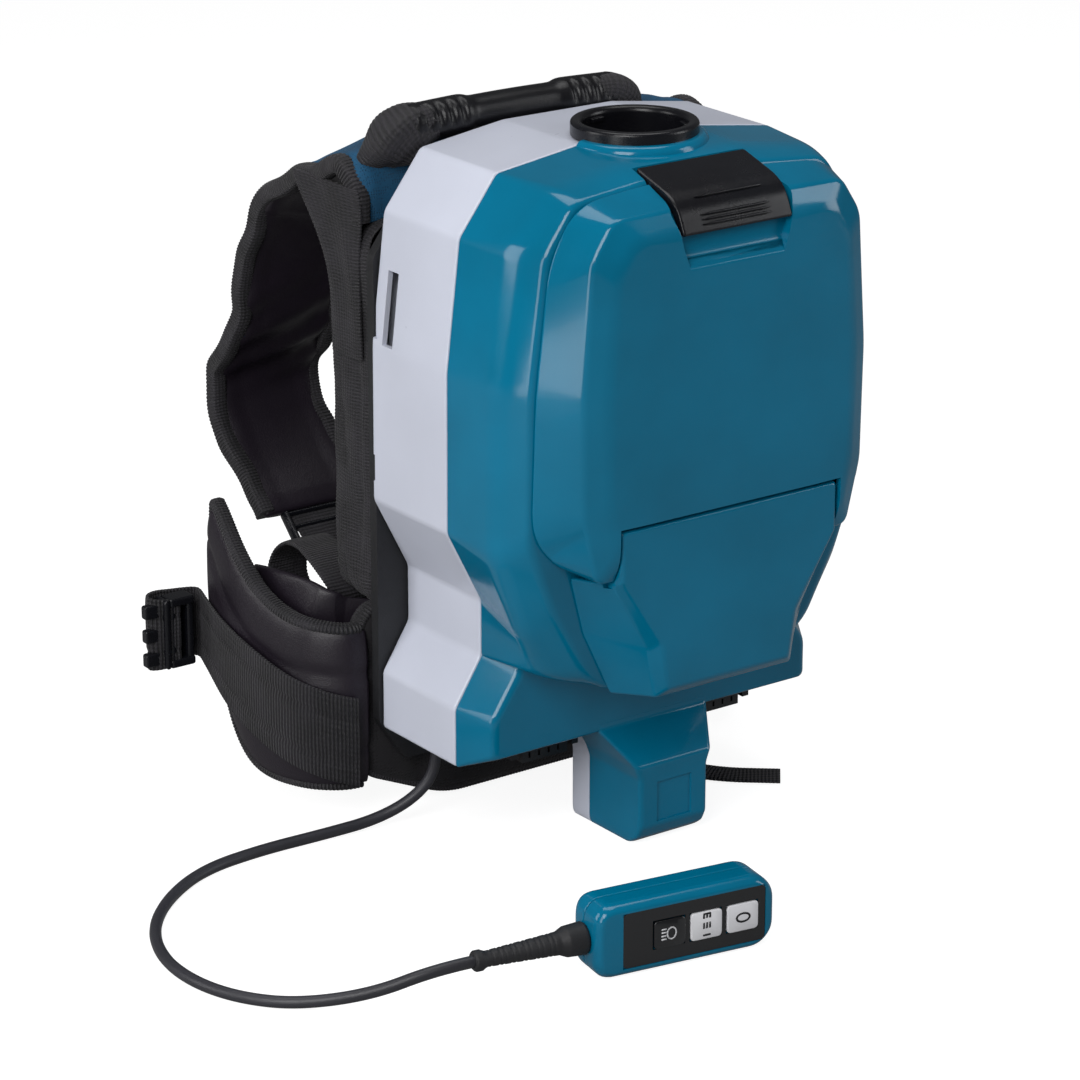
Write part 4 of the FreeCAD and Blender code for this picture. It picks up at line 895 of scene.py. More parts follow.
def make_socket(look):
    """Hose socket: flanged ring over the hole, with a bore, a lower lip and two raised stops inside."""
    profile = [(26, 348), (26, 371.2), (27.6, 373), (30.8, 373), (32, 371.8), (32, 365.4), (29.6, 365.2),
               (29.6, 344), (23, 344), (23, 348)]
    ring = round_corners(profile, [0.4, 1.2, 0.9, 0.9, 0.9, 0.6, 0.3, 0.4, 0.4, 0.4], 4, True)
    lump = Lump().grid(revolve(ring, (0, 0), 128), wrap_rows=True)
    for turn in (-0.35, 1.75, 3.85):
        angle = turn + np.linspace(-0.16, 0.16, 13)
        bars = []
        for r, z in ((26.2, 369.5), (24.6, 369.2), (24.6, 367.2), (26.2, 366.6)):
            bars.append(np.column_stack([r * np.cos(angle), r * np.sin(angle), np.full(13, z)]))
        lump.grid(np.stack(bars, axis=1), caps=True)
    turn = np.linspace(-math.pi + 0.02, -0.02, 61)
    ledge = [(30.6, 358), (37.5, 358), (36.8, 364.4), (34.6, 367.0), (30.6, 367.2)]
    ledge = round_corners(ledge, [0.3, 0.6, 1.8, 1.2, 0.3], 4, True)
    radius, high = ledge[:, 0][:, None], ledge[:, 1][:, None]
    rows = np.stack(np.broadcast_arrays(radius * np.cos(turn), radius * np.sin(turn), high), axis=-1)
    half = Lump().grid(rows.transpose(1, 0, 2), caps=True)
    mesh_piece(half, "socket_ledge", "root", "housing_teal", ["teal"], bevel=0.3)
    return mesh_piece(lump, "socket_ring", "root", "black_plastic", ["black"], ["hose_socket"], bevel=0.25)


# ---------------------------------------------------------------- harness

def ribbed(pitch, depth, length, slant=0.0):
    """shape() for sweep: the outline grows outwards by depth (1 + cos 2 pi (s L + slant u) / pitch) / 2."""
    def shape(share, u, v):
        wave = depth * (1 + np.cos(2 * math.pi * (share * length + slant * u) / pitch)) / 2
        reach = np.maximum(np.hypot(u, v), 1e-6)
        return u + u / reach * wave, v + v / reach * wave
    return shape


def band(lump, line, at, side, outline, shape=None):
    """Adds an outline swept along a line. Its flow coordinates are the arc length and the place across."""
    flow = np.stack(np.broadcast_arrays(at[:, None], outline[:, 0][None, :]), axis=-1)
    return lump.grid(sweep(line, side, outline, shape), caps=True, flow=flow)


def strip(lump, points, side, width, thick, pitch=2.4, depth=0.18, per=0.8):
    """Webbing strip of that width and thickness along a line of points, with woven ribs across it."""
    length = np.linalg.norm(np.diff(points, axis=0), axis=1).sum()
    line, at = resampled(points, max(8, int(length / per)))
    return band(lump, line, at, side, pillow_outline(width, thick, 18, 4.5), ribbed(pitch, depth, length))


def rounded3(points, reach):
    """Open line of points in space, its corners rounded."""
    return round_corners(np.asarray(points, float), reach, 10, False)


def make_grip(look):
    """Carry grip: tube along x with swollen collars, in which oval dents are pressed."""
    x = np.linspace(-84, 44, 260)
    angle = np.linspace(0, 2 * math.pi, 72, endpoint=False)
    from_end = np.minimum(x + 84, 44 - x)
    collar = 1 / (1 + np.exp((from_end - 36) * 0.8))
    radius = look.grip_radius / MM + 1.7 * collar - 1.6 * np.clip(1 - from_end / 3.0, 0, 1) ** 2
    radius = np.repeat(radius[:, None], len(angle), axis=1)
    for turn in (2.5, 5.64):
        for place in (8.5, 15.5, 22.5, 29.5):
            across = (np.angle(np.exp(1j * (angle - turn))) / 0.7)[None, :]
            along = ((from_end - place) / 1.9)[:, None]
            dent = np.exp(-(across ** 4 + along ** 4))
            radius = radius - 1.25 * dent
    arch = 1.6 * np.cos(np.clip((x + 20) / 64, -1, 1) * math.pi / 2)
    y = 77 + radius * np.cos(angle)
    z = 366.0 + arch[:, None] + radius * np.sin(angle)
    points = np.stack([np.repeat(x[:, None], len(angle), axis=1), y, z], axis=-1)
    lump = Lump().grid(points, caps=True)
    mesh_piece(lump, "grip_sleeve", "root", "rubber", ["grip"], ["carry_grip"])
    ties = Lump()
    for end, inward in ((-96.0, 1), (56.0, -1)):
        line = rounded3([(end + 1 * inward, 95, 318), (end + 2 * inward, 94, 338), (end + 5 * inward, 88, 350),
                         (end + 9 * inward, 80, 359.5), (end + 16 * inward, 77, 365.2),
                         (end + 26 * inward, 77, 366.6)], 7)
        smooth, at = resampled(line, 220)
        outline = pillow_outline(27, 5.0, 48, 3.0)

        def bunch(share, u, v):
            tight = np.clip((share - 0.3) / 0.35, 0, 1)
            knot = 0.16 * np.exp(-((share - 0.68) / 0.14) ** 2) - 0.10 * np.clip((share - 0.85) / 0.15, 0, 1)
            folds = 1 + knot + 0.09 * tight * np.sin(4 * np.arctan2(v, u) + 11 * share)
            wave = 0.4 * (1 + np.cos(2 * math.pi * (share * 36 + 0.06 * u))) / 2
            return u * (1 - 0.14 * tight) * folds, v * (1 + 3.1 * tight) * folds + np.sign(v) * 1.3 * wave

        across = np.cross(unit_tangent(smooth), [0, 1.0, 0])
        across /= np.linalg.norm(across, axis=1, keepdims=True)
        band(ties, smooth, at, across, outline, bunch)
    mesh_piece(ties, "handle_ties", "root", "webbing", ["webbing"], ["handle_webbing"])


def cushion(half_x, z_low, z_high, y_front, depth, corner, crown, columns=90, rows=70, pinch=(), trim=None):
    """Closed pad in the XZ plane. Its front and back faces bulge as y = d (1 - (1 - e)^4), e being the share
    of the way in from the edge, and are pinched by smooth grooves at the x values in pinch."""
    outline = np.array([(-half_x, z_low), (half_x, z_low), (half_x, z_high), (-half_x, z_high)], float) \
        if trim is None else np.array(trim, float)
    ring = resampled(np.vstack([round_corners(outline, corner, 8, True),
                                round_corners(outline, corner, 8, True)[:1]]), columns * 2 + 1)[0][:-1]
    middle = np.array([0.0, (z_low + z_high) / 2])
    edge = np.linspace(0, math.pi, rows)
    layers, flows = [], []
    for angle in edge:
        reach = np.sin(angle) ** 0.42
        flat = middle + (ring - middle) * (0.02 + 0.98 * reach)
        side = -np.cos(angle)
        bulge = 0.5 * depth * np.sign(side) * np.abs(side) ** 0.6
        swell = crown * np.sign(side) * (1 - reach) ** 0.5
        groove = sum((np.exp(-((flat[:, 0] - at) / 5.0) ** 2) for at in pinch), np.zeros(len(flat)))
        y = y_front + depth / 2 + (bulge + swell) * (1 - 0.3 * groove)
        layers.append(np.column_stack([flat[:, 0], y, flat[:, 1]]))
        flows.append(flat)
    return np.stack(layers), np.stack(flows)


def make_pads(look):
    """Back pad and lumbar pad of spacer mesh, a creased gusset round the back pad, and ribbed bindings."""
    layers, flows = cushion(110, 118, 318, 72.6, 33, 18, 1.5, pinch=(-52, 0, 52))
    pad = mesh_piece(Lump().grid(layers, caps=True, flow=flows), "back_cushion", "root", "pad_mesh",
                     ["mesh"], ["back_pad"])
    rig.padded(pad, 0.7)
    outline = [(-64, 2.5), (64, 2.5), (118, 26), (118, 108), (106, 119), (-106, 119), (-118, 108), (-118, 26)]
    layers, flows = cushion(118, 2.5, 119, 72.6, 18.5, 12, 1.0, pinch=(-80, 80), trim=outline)
    lumbar = mesh_piece(Lump().grid(layers, caps=True, flow=flows), "lumbar_cushion", "root", "pad_mesh",
                        ["mesh"], ["lumbar_pad"])
    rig.padded(lumbar, 0.7)
    lumbar_edge = [(-63, 3.6), (63, 3.6), (116, 27), (116, 107), (105, 117.4), (-105, 117.4), (-116, 107),
                   (-116, 27)]
    edging = Lump()

    def closed_line(points, reach, y):
        ring = round_corners(np.array(points, float), reach, 8, True)
        ring = np.vstack([ring, ring[:1]])
        return np.column_stack([ring[:, 0], np.full(len(ring), y), ring[:, 1]])
    for points, reach, y, wide, count, gusset in (
            ([(-110, 118), (110, 118), (110, 320), (-110, 320)], 18, 89.0, look.gusset_width / MM, 44, True),
            (lumbar_edge, 12, 82.0, 11.0, 20, False)):
        smooth, at = resampled(closed_line(points, reach, y), 1900)

        def draped(share, u, v):
            along = 2 * math.pi * share
            crease = np.exp(-((u - 3.5 * np.sin(7 * along) - 4.5) / 1.3) ** 2)
            crease = crease + np.exp(-((u + 7.5 - 2.5 * np.sin(5 * along + 1)) / 1.5) ** 2)
            swell = 0.9 * np.cos(u / 5.2 + 1.5 * np.sin(9 * along))
            ribs = 0.34 * (1 + np.cos(2 * math.pi * (share * at[-1] / 1.9 + 0.09 * u))) / 2
            return u, v * (1.0 + 0.1 * wide / 11) + np.sign(v) * (ribs + gusset * (swell - 1.2 * crease))

        band(edging, smooth, at, (0, 1.0, 0), pillow_outline(wide, 3.2, count, 3.0), draped)
        if gusset:
            mesh_piece(edging, "pad_gusset", "root", "webbing", ["binding"])
            edging = Lump()
    for x in (-98, -70):
        line = [(x, 74.4, 128), (x, 73.6, 200), (x, 74.4, 308)]
        strip(edging, rounded3(line, 30), (1.0, 0, 0), 9, 3.2, pitch=1.8, depth=0.25)
    mesh_piece(edging, "pad_binding", "root", "webbing", ["binding"])


def make_straps(look):
    """Shoulder straps: padded band over the shoulder, teal outside and satin inside, bound at both edges,
    with a lining flap, the gathered webbing that holds it to the pad, and the pull webbing below."""
    for name, middle_x, mirror in (("right", -STRAP_MIDDLE, 1), ("left", STRAP_MIDDLE, -1)):
        flat = np.column_stack([np.zeros(len(STRAP_LINE)), np.array(STRAP_LINE, float)])
        line = rounded3(flat, 17)
        smooth, at = resampled(line, 240)
        swing = 1.6 * np.sin(at / at[-1] * math.pi * 2.0) * mirror
        smooth = smooth + np.column_stack([middle_x + swing, np.zeros(len(at)), np.zeros(len(at))])
        outline = pillow_outline(look.strap_width / MM, look.strap_thickness / MM, 44, 3.4)

        def puffed(share, u, v):
            end = np.clip(np.minimum(share, 1 - share) / 0.03, 0, 1) ** 0.5
            quilt = 1 - 0.16 * np.exp(-(np.abs(u) - 17) ** 2 / 9)
            kink = np.exp(-((share - 0.66) / 0.10) ** 2)
            fold = 1.3 * kink * np.sin(share * 85 + u * 0.11) + 0.35 * np.sin(share * 31 - u * 0.07)
            flap = 1.5 / (1 + np.exp((share - 0.42 - 0.0009 * u) * 420)) * (share > 0.2) * (v > 0)
            roll = -STRAP_ROLL * mirror * u * np.exp(-((share - 0.2) / 0.12) ** 2)
            return u * (0.95 + 0.05 * end), v * (0.55 + 0.45 * end) * quilt + fold + flap + roll

        lump = band(Lump(), smooth, at, (1.0, 0, 0), outline, puffed)
        columns = len(outline)
        outer = set(np.nonzero(outline[:, 1] < -0.5)[0].tolist())
        lump.marks = [1 if face[0] % columns in outer and len(face) == 4 else 0 for face in lump.faces]
        strap = mesh_piece(lump, f"strap_{name}", "root", "strap_fabric",
                           ["satin", "strap teal"], [f"shoulder_strap_{name}"])
        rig.padded(strap, 0.6)
        binding = Lump()
        for edge in (-1, 1):
            wander = np.sin(at / 9.0 + edge) + 0.6 * np.sin(at / 4.1 + 2 * edge)
            rim = smooth + np.column_stack([edge * 30.0 * (1 + 0.03 * np.sin(at / 17.0 + edge)) + 0.7 * wander,
                                            1.1 * np.sin(at / 8.0 + 2 * edge), 1.1 * np.cos(at / 6.5)])
            roll = -STRAP_ROLL * mirror * edge * 30 * np.exp(-((at / at[-1] - 0.2) / 0.12) ** 2)
            rim = rim + np.cross(unit_tangent(smooth), [1.0, 0, 0]) * roll[:, None]
            pipe_line, pipe_at = resampled(rim, 900)
            band(binding, pipe_line, pipe_at, (1.0, 0, 0), pillow_outline(8.6, 9.4, 22, 3.6),
                 ribbed(1.9, 0.4, pipe_at[-1], 0.8 * edge))
        mesh_piece(binding, f"strap_binding_{name}", "root", "webbing", ["binding"])
        pull = Lump()
        pull_line = [(81.0 * -mirror, y, z) for y, z in PULL_LINE]
        strip(pull, rounded3(pull_line, 20), (1.0, 0, 0), 29, 1.9, per=0.6)
        yoke = Lump()
        yoke_line, yoke_at = resampled(rounded3([(-112.5 * mirror, 108, 337), (-113 * mirror, 98, 318),
                                                 (-113 * mirror, 90, 290), (-112.5 * mirror, 89, 250)], 14), 150)

        def gathered(share, u, v):
            ribs = 0.4 * (1 + np.cos(2 * math.pi * (share * yoke_at[-1] / 2.0 + 0.05 * u))) / 2
            crease = 0.9 * np.sin(u / 2.7 + 3 * share) * np.exp(-((share - 0.4) / 0.4) ** 2)
            return u * (1 + 1.15 * np.exp(-(share / 0.33) ** 2)), v + np.sign(v) * ribs + crease

        band(yoke, yoke_line, yoke_at, (0, 1.0, 0), pillow_outline(27, 2.6, 48, 3.4), gathered)
        turn = np.linspace(0, 2 * math.pi, 121)
        hoop = np.column_stack([np.full(121, -105.0 * mirror) + 2.5 * np.sin(2 * turn), 131 + 31 * np.cos(turn),
                                117 + (17 + 3 * np.cos(turn)) * np.sin(turn)])
        strip(yoke, hoop, (1.0, 0, 0), 24, 2.6, pitch=2.0, depth=0.4, per=0.5)
        mesh_piece(yoke, f"strap_yoke_{name}", "root", "webbing", ["binding"])
        mesh_piece(pull, f"pull_strip_{name}", "root", "webbing", ["webbing"], [f"pull_webbing_{name}"])


def wing_points(count):
    """Middle line of the belt wing in plan, its outward normal, and the wing's low and high z there."""
    line = resampled(round_corners(np.array(WING_LINE, float), 24, 12, False), count)[0]
    tangent = unit_tangent(line)
    outward = np.column_stack([-tangent[:, 1], tangent[:, 0]])
    low = np.array(round_corners(WING_LOW, 20, 6, False))
    high = np.array(round_corners(WING_HIGH, 20, 6, False))
    z_low = np.interp(line[:, 1], low[:, 0], low[:, 1])
    order = np.argsort(high[:, 0])
    z_high = np.interp(line[:, 1], high[order, 0], high[order, 1])
    return line, outward, z_low, z_high


def make_wings(look):
    """Belt wings: padded leaves whose height follows two side curves, with folds, a lining panel, a bound
    edge, and the belt's webbing along the outside and through its buckle."""
    line, outward, z_low, z_high = wing_points(110)
    share = np.linspace(0, 1, len(line))[:, None]
    angle = np.linspace(0, 2 * math.pi, 80, endpoint=False)
    c, s = np.cos(angle), np.sin(angle)
    up = np.sign(c) * np.abs(c) ** 0.75
    out = np.sign(s) * np.abs(s) ** 0.55
    end = np.clip((1 - share) / 0.08, 0, 1) ** 0.5
    middle = ((z_low + z_high) / 2)[:, None]
    half = ((z_high - z_low) / 2)[:, None] * (0.55 + 0.45 * end)
    folds = 1.3 * np.sin(9 * share + 2.2 * up) * np.exp(-((share - 0.6) / 0.3) ** 2)
    seams = -1.6 * np.exp(-((up - 0.45) / 0.07) ** 2) - 1.6 * np.exp(-((up + 0.5) / 0.07) ** 2)
    thick = (7.2 + seams * np.abs(out)) * (0.3 + 0.7 * end) * out + folds * np.abs(out) * 0.5
    for name, mirror in (("right", 1), ("left", -1)):
        x = (line[:, 0][:, None] + outward[:, 0][:, None] * thick)
        y = (line[:, 1][:, None] + outward[:, 1][:, None] * thick)
        z = middle + half * up
        points = np.stack([x * mirror, y, z + 0 * x], axis=-1)
        lump = Lump().grid(points, caps=True)
        wing = mesh_piece(lump, f"wing_{name}", "root", "strap_fabric", ["satin"], [f"waist_wing_{name}"])
        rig.padded(wing, 0.6)
        inner = line - outward * 12.5
        near = inner[(line[:, 1] > 79) & (line[:, 1] < 158)]
        near = np.vstack([[(-100.0, 82.0)], near])
        step = np.linspace(0, 1, len(near))[:, None]
        crease = 1.4 * np.sin(5 * up + 13 * step) * np.exp(-((step - 0.3) / 0.25) ** 2) * np.abs(out)
        swell = 4.4 * out * (0.4 + 0.6 * np.minimum(1, (1 - step) / 0.1) ** 0.5) + crease
        high = 118 + 7 * np.sin(math.pi * step) + 4 * step
        leaf = np.stack(np.broadcast_arrays((near[:, 0][:, None] - swell) * mirror, near[:, 1][:, None],
                                            (high + 40) / 2 + (high - 40) / 2 * up), axis=-1)
        panel = mesh_piece(Lump().grid(leaf, caps=True), f"wing_lining_{name}", "root", "strap_fabric",
                           ["satin"])
        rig.padded(panel, 0.6)
        trim = Lump()
        rim_high = np.column_stack([line, z_high])[2:-6]
        rim_low = np.column_stack([line, z_low])[2:-6]
        tip = np.column_stack([np.tile(line[-6:-5], (9, 1)), np.linspace(z_high[-7], z_low[-7], 9)])
        rim = np.vstack([rim_high, tip[1:-1], rim_low[::-1]]) * [mirror, 1, 1]
        rim_line, rim_at = resampled(rim, 900)
        tangent = np.gradient(rim_line, axis=0)
        flat = np.array([outward[len(outward) // 2][0] * mirror, outward[len(outward) // 2][1], 0.0])
        side = flat - tangent * ((tangent @ flat) / (tangent ** 2).sum(axis=1))[:, None]
        side /= np.linalg.norm(side, axis=1, keepdims=True)
        band(trim, rim_line, rim_at, side, pillow_outline(8.5, 5.0, 14, 2.6), ribbed(1.9, 0.35, rim_at[-1], 0.6))
        mesh_piece(trim, f"wing_binding_{name}", "root", "webbing", ["binding"])
        offset = line + outward * 9.4
        keep = line[:, 1] > 80.2
        along = np.linspace(0, 1, keep.sum())
        belt = np.column_stack([offset[keep], 47.0 + 37.0 * along ** 0.9])
        belt, at = resampled(rounded3(belt[::6].tolist() + BUCKLE_LOOP, 7), 420)
        belt = belt * [mirror, 1, 1]
        length = at[-1]

        def fanned(share, u, v):
            fan = 1 + 0.28 / (1 + np.exp((share * length - length * 0.55) / 12)) \
                + 0.1 * np.exp(-((share * length - length + 24) / 12) ** 2)
            stripe = 0.7 * np.exp(-((np.abs(u) - 9.5) / 0.9) ** 2)
            rib = 0.26 * (1 + np.cos(2 * math.pi * share * length / 2.0)) / 2
            return u * fan, v * (1 - stripe) + np.sign(v) * rib

        web = band(Lump(), belt, at, (0, 0, 1.0), pillow_outline(look.belt_width / MM, 2.4, 56, 4.5), fanned)
        mesh_piece(web, f"belt_strip_{name}", "root", "webbing", ["webbing"], [f"waist_webbing_{name}"])


def rounded_block(x, y, z, reach):
    """Closed box between pairs, its outline in YZ rounded by reach and its two ends drawn in by 0.8 reach."""
    corners = np.array([(y[0], z[0]), (y[1], z[0]), (y[1], z[1]), (y[0], z[1])], float)
    ring = round_corners(corners, reach, 5, True)
    middle = ring.mean(axis=0)
    rows = []
    for at, share in ((x[0], 0.86), (x[0] + 0.35 * reach, 0.96), (x[0] + reach, 1.0), (x[1] - reach, 1.0),
                      (x[1] - 0.35 * reach, 0.96), (x[1], 0.86)):
        flat = middle + share * (ring - middle)
        rows.append(np.column_stack([np.full(len(ring), at), flat]))
    return np.stack(rows)


def make_buckles(look):
    """Side-release buckle halves with rounded edges, the ladder buckles of the shoulder straps, and the loose
    end of the belt, held just above the floor."""
    for name, mirror, reach in (("buckle_male", 1, 16), ("buckle_female", -1, 28)):
        lump = Lump()
        for x, y, z in (((-156 - reach, -168.2), (177.4, 188.6), (64.6, 103.4)),
                        ((-168.4, -153.8), (177.4, 188.6), (64.6, 69.2)),
                        ((-168.4, -153.8), (177.4, 188.6), (98.8, 103.4)),
                        ((-157.6, -153.9), (178.6, 187.4), (66, 102)),
                        ((-167.9, -164.6), (178.6, 187.4), (66, 102))):
            lump.grid(rounded_block(x, y, z, 1.4) * [mirror, 1, 1], caps=True)
        if name == "buckle_male":
            for z in ((66.8, 74.2), (80.4, 87.6), (93.8, 101.2)):
                lump.grid(rounded_block((-181.8, -171), (180.6, 185.4), z, 1.1), caps=True)
        mesh_piece(lump, name + "_body", "root", "black_plastic", ["black"], [name], bevel=0.2)
    lump = Lump()
    end, before = np.array(STRAP_LINE[-1], float), np.array(STRAP_LINE[-2], float)
    down = (end - before) / np.linalg.norm(end - before)
    across = np.array([-down[1], down[0]])
    angle = np.linspace(0, 2 * math.pi, 16, endpoint=False)
    bar = 3.0 * np.cos(angle)[:, None] * across + 1.6 * np.sin(angle)[:, None] * down
    for middle_x in (-81.0, 81.0):
        for place in (1.8, 10.0, 18.2):
            lump.grid(np.stack([np.column_stack([np.full(16, middle_x + x), end + down * place + bar])
                                for x in np.linspace(-17.8, 17.8, 40)]), caps=True)
        for side in (-17.0, 17.0):
            rows = [np.column_stack([middle_x + side + 1.9 * np.cos(angle),
                                     end + down * at + 3.6 * np.sin(angle)[:, None] * across])
                    for at in np.linspace(0.4, 19.4, 24)]
            lump.grid(np.stack(rows), caps=True)
    mesh_piece(lump, "ladder_frames", "root", "black_plastic", ["black"], ["ladder_buckles"])
    smooth, at = resampled(rounded3([(54, 71, 1.2), (54, 44, 1.2), (70, 14, 1.3), (96, -7, 1.2)], 20), 200)
    side = np.cross(unit_tangent(smooth), [0, 0, 1.0])
    tail = band(Lump(), smooth, at, side, pillow_outline(18, 1.9, 24, 4.5), ribbed(2.0, 0.2, at[-1]))
    tail.points[0][:, 2] = np.maximum(tail.points[0][:, 2], 0.05)
    mesh_piece(tail, "belt_tail_strip", "root", "webbing", ["webbing"], ["belt_tail"])


def make_screws(look):
    """Housing screws: domed heads with a hexagonal well, and shanks with thread ridges r + d |sin|."""
    turn = np.linspace(0, 2 * math.pi, 36, endpoint=False)
    hexagon = 1.35 * np.cos(math.pi / 6) / np.cos((turn % (math.pi / 3)) - math.pi / 6)
    lump = Lump()
    for x, z in ((107.0, 245), (106.5, 195), (102.4, 74)):
        for side in (-1, 1):
            rows = [(0.02 * hexagon, 64.2), (hexagon, 64.2), (hexagon, 65.1), (2.0 + 0 * turn, 65.3),
                    (2.7 + 0 * turn, 64.9), (3.0 + 0 * turn, 64.2), (3.0 + 0 * turn, 63.1)]
            for y in np.arange(63.0, -5.0, -0.7):
                rows.append((1.28 + 0.2 * np.abs(np.sin(turn / 2 + y * math.pi / 1.4)), y))
            rows += [(1.0 + 0 * turn, -6.0), (0.05 + 0 * turn, -7.4)]
            grid = np.stack([np.column_stack([side * x + radius * np.cos(turn), np.full(36, y),
                                              z + radius * np.sin(turn)]) for radius, y in rows])
            lump.grid(grid, caps=True)
    mesh_piece(lump, "screw_set", "root", "steel", ["steel"], ["housing_screws"])


def make_bag(look):
    """Fleece dust bag: a soft box with swollen sides and shallow creases, and a round neck."""
    outline = [(-76, 188), (76, 188), (76, 319.6), (40, 335.6), (-40, 335.6), (-76, 319.6)]
    layers, _ = cushion(76, 188, 335.6, -7.4, 54.8, 14, 0.0, columns=110, rows=110, trim=outline)
    x, z = layers[..., 0], layers[..., 2]
    middle = np.array([0, 20.0, 262.0])
    reach = np.hypot(x, z - 262) / 80
    wave = 1.2 * np.sin(x / 7 + 1.3 * np.sin(z / 11)) * np.sin(z / 19) + 0.8 * np.sin((x + z) / 5.3)
    share = 1 - (wave + 1.8) * 0.012 * np.clip(reach + 0.5, 0, 1.2)
    lump = Lump().grid(middle + (layers - middle) * share[..., None], caps=True)
    angle = np.linspace(0, 2 * math.pi, 72, endpoint=False)
    rows = []
    for radius, high in ((25.6, 328), (24.6, 332), (24.2, 334.5), (24.8, 336), (24.2, 337.4), (24.6, 338.4)):
        rows.append(np.column_stack([radius * np.cos(angle), 16 + radius * np.sin(angle), np.full(72, high)]))
    lump.grid(np.stack(rows), caps=True)
    bag = mesh_piece(lump, "fleece_bag", "root", "bag_fleece", ["fleece"], ["dust_bag"])
    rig.padded(bag, 0.6)


# ---------------------------------------------------------------- remote control

def at_remote(points):
    """Points from the remote's own axes to the frame: turned by REMOTE_TURN about z, then moved."""
    x, y, z = points[..., 0], points[..., 1], points[..., 2]
    return np.stack([REMOTE_PLACE[0] + x * math.cos(REMOTE_TURN) - y * math.sin(REMOTE_TURN),
                     REMOTE_PLACE[1] + x * math.sin(REMOTE_TURN) + y * math.cos(REMOTE_TURN), z], axis=-1)


def remote_ring():
    """Outline of the remote's shell in its own (x, z)."""
    return np.array([(-49, 6), (-44, 0), (41, 0), (49, 8), (49, 30), (41, 38), (-44, 38), (-49, 32)], float)


def make_remote(look):
    """Remote control: teal shell in two halves, sunken dark panel, three keys, and the back half's clip."""
    ring = remote_ring()
    stations = [(0.9, -0.5), (0.4, 0.0), (-9.5, 0.0), (-13.5, -2.6), (-13.5, -6.0)]
    sections = [at_y(inset(ring, -g) if g else ring, y) for y, g in stations]
    sections.append(shrunk(at_y(ring, 0), 0.0, -13.5))
    front = at_remote(skin(sections, 5, [0, 0.5, 2.4, 2.4, 0.5, 0], False, 5, 5))
    lump = Lump().grid(front)
    lump.faces.append(list(range(front.shape[1])))
    lump.marks.append(0)
    shell = mesh_piece(lump, "remote_front_skin", "root", "housing_teal", ["teal"],
                       ["remote_front_shell"], bevel=0.3)
    panel_box = Lump().grid(at_remote(np.stack([at_y(np.array([(-35, 4.5), (43, 4.5), (43, 33.5), (-35, 33.5)]), y)
                                                for y in (-20, -12.3)])), caps=True)
    wells = [Lump().grid(at_remote(np.stack([at_y(np.array([(x - 8.8, 11.5), (x + 8.8, 11.5), (x + 8.8, 26.5),
                                                            (x - 8.8, 26.5)]), y) for y in (-20, -10.8)])), caps=True)
             for x in (30.0, 10.0, -10.0)]
    carve(shell, [panel_box] + wells)
    stations = [(1.1, -0.5), (1.6, 0.0), (9.5, 0.0), (13.5, -2.6), (13.5, -6.0)]
    sections = [at_y(inset(ring, -g) if g else ring, y) for y, g in stations]
    sections.append(shrunk(at_y(ring, 0), 0.0, 13.5))
    back = at_remote(skin(sections, 5, [0, 0.5, 2.4, 2.4, 0.5, 0], False, 5, 5))
    lump = Lump().grid(back)
    lump.faces.append(list(range(back.shape[1])))
    lump.marks.append(0)
    mesh_piece(lump, "remote_back_skin", "root", "housing_teal", ["teal"],
               ["remote_back_shell"], bevel=0.3)
    face = np.array([(-34.6, 4.9), (42.6, 4.9), (42.6, 33.1), (-34.6, 33.1)])
    rows = [at_y(face, -12.2), at_y(face, -12.9), at_y(inset(face, -0.3), -13.1)]
    lump = Lump().grid(at_remote(skin(rows, 3, [0, 0.2, 0], False, 5, 3)), caps=True)
    film = mesh_piece(lump, "remote_panel_film", "root", "panel_black", ["panel"], ["key_panel"],
                      bevel=0.12)
    carve(film, wells)


def segments(lump, strokes, half, y, mark=1):
    """Raised strokes for a printed figure: each is a pair of (x, z) ends widened by half, 0.1 mm thick."""
    for (x0, z0), (x1, z1) in strokes:
        run = np.array([x1 - x0, z1 - z0], float)
        run /= max(np.linalg.norm(run), 1e-9)
        wide = np.array([-run[1], run[0]]) * half
        a, b = np.array([x0, z0]) - run * half * 0.5, np.array([x1, z1]) + run * half * 0.5
        ring = np.array([a - wide, b - wide, b + wide, a + wide])
        lump.grid(at_remote(np.stack([at_y(ring, y), at_y(ring, y - 0.12)])), caps=True, mark=mark)


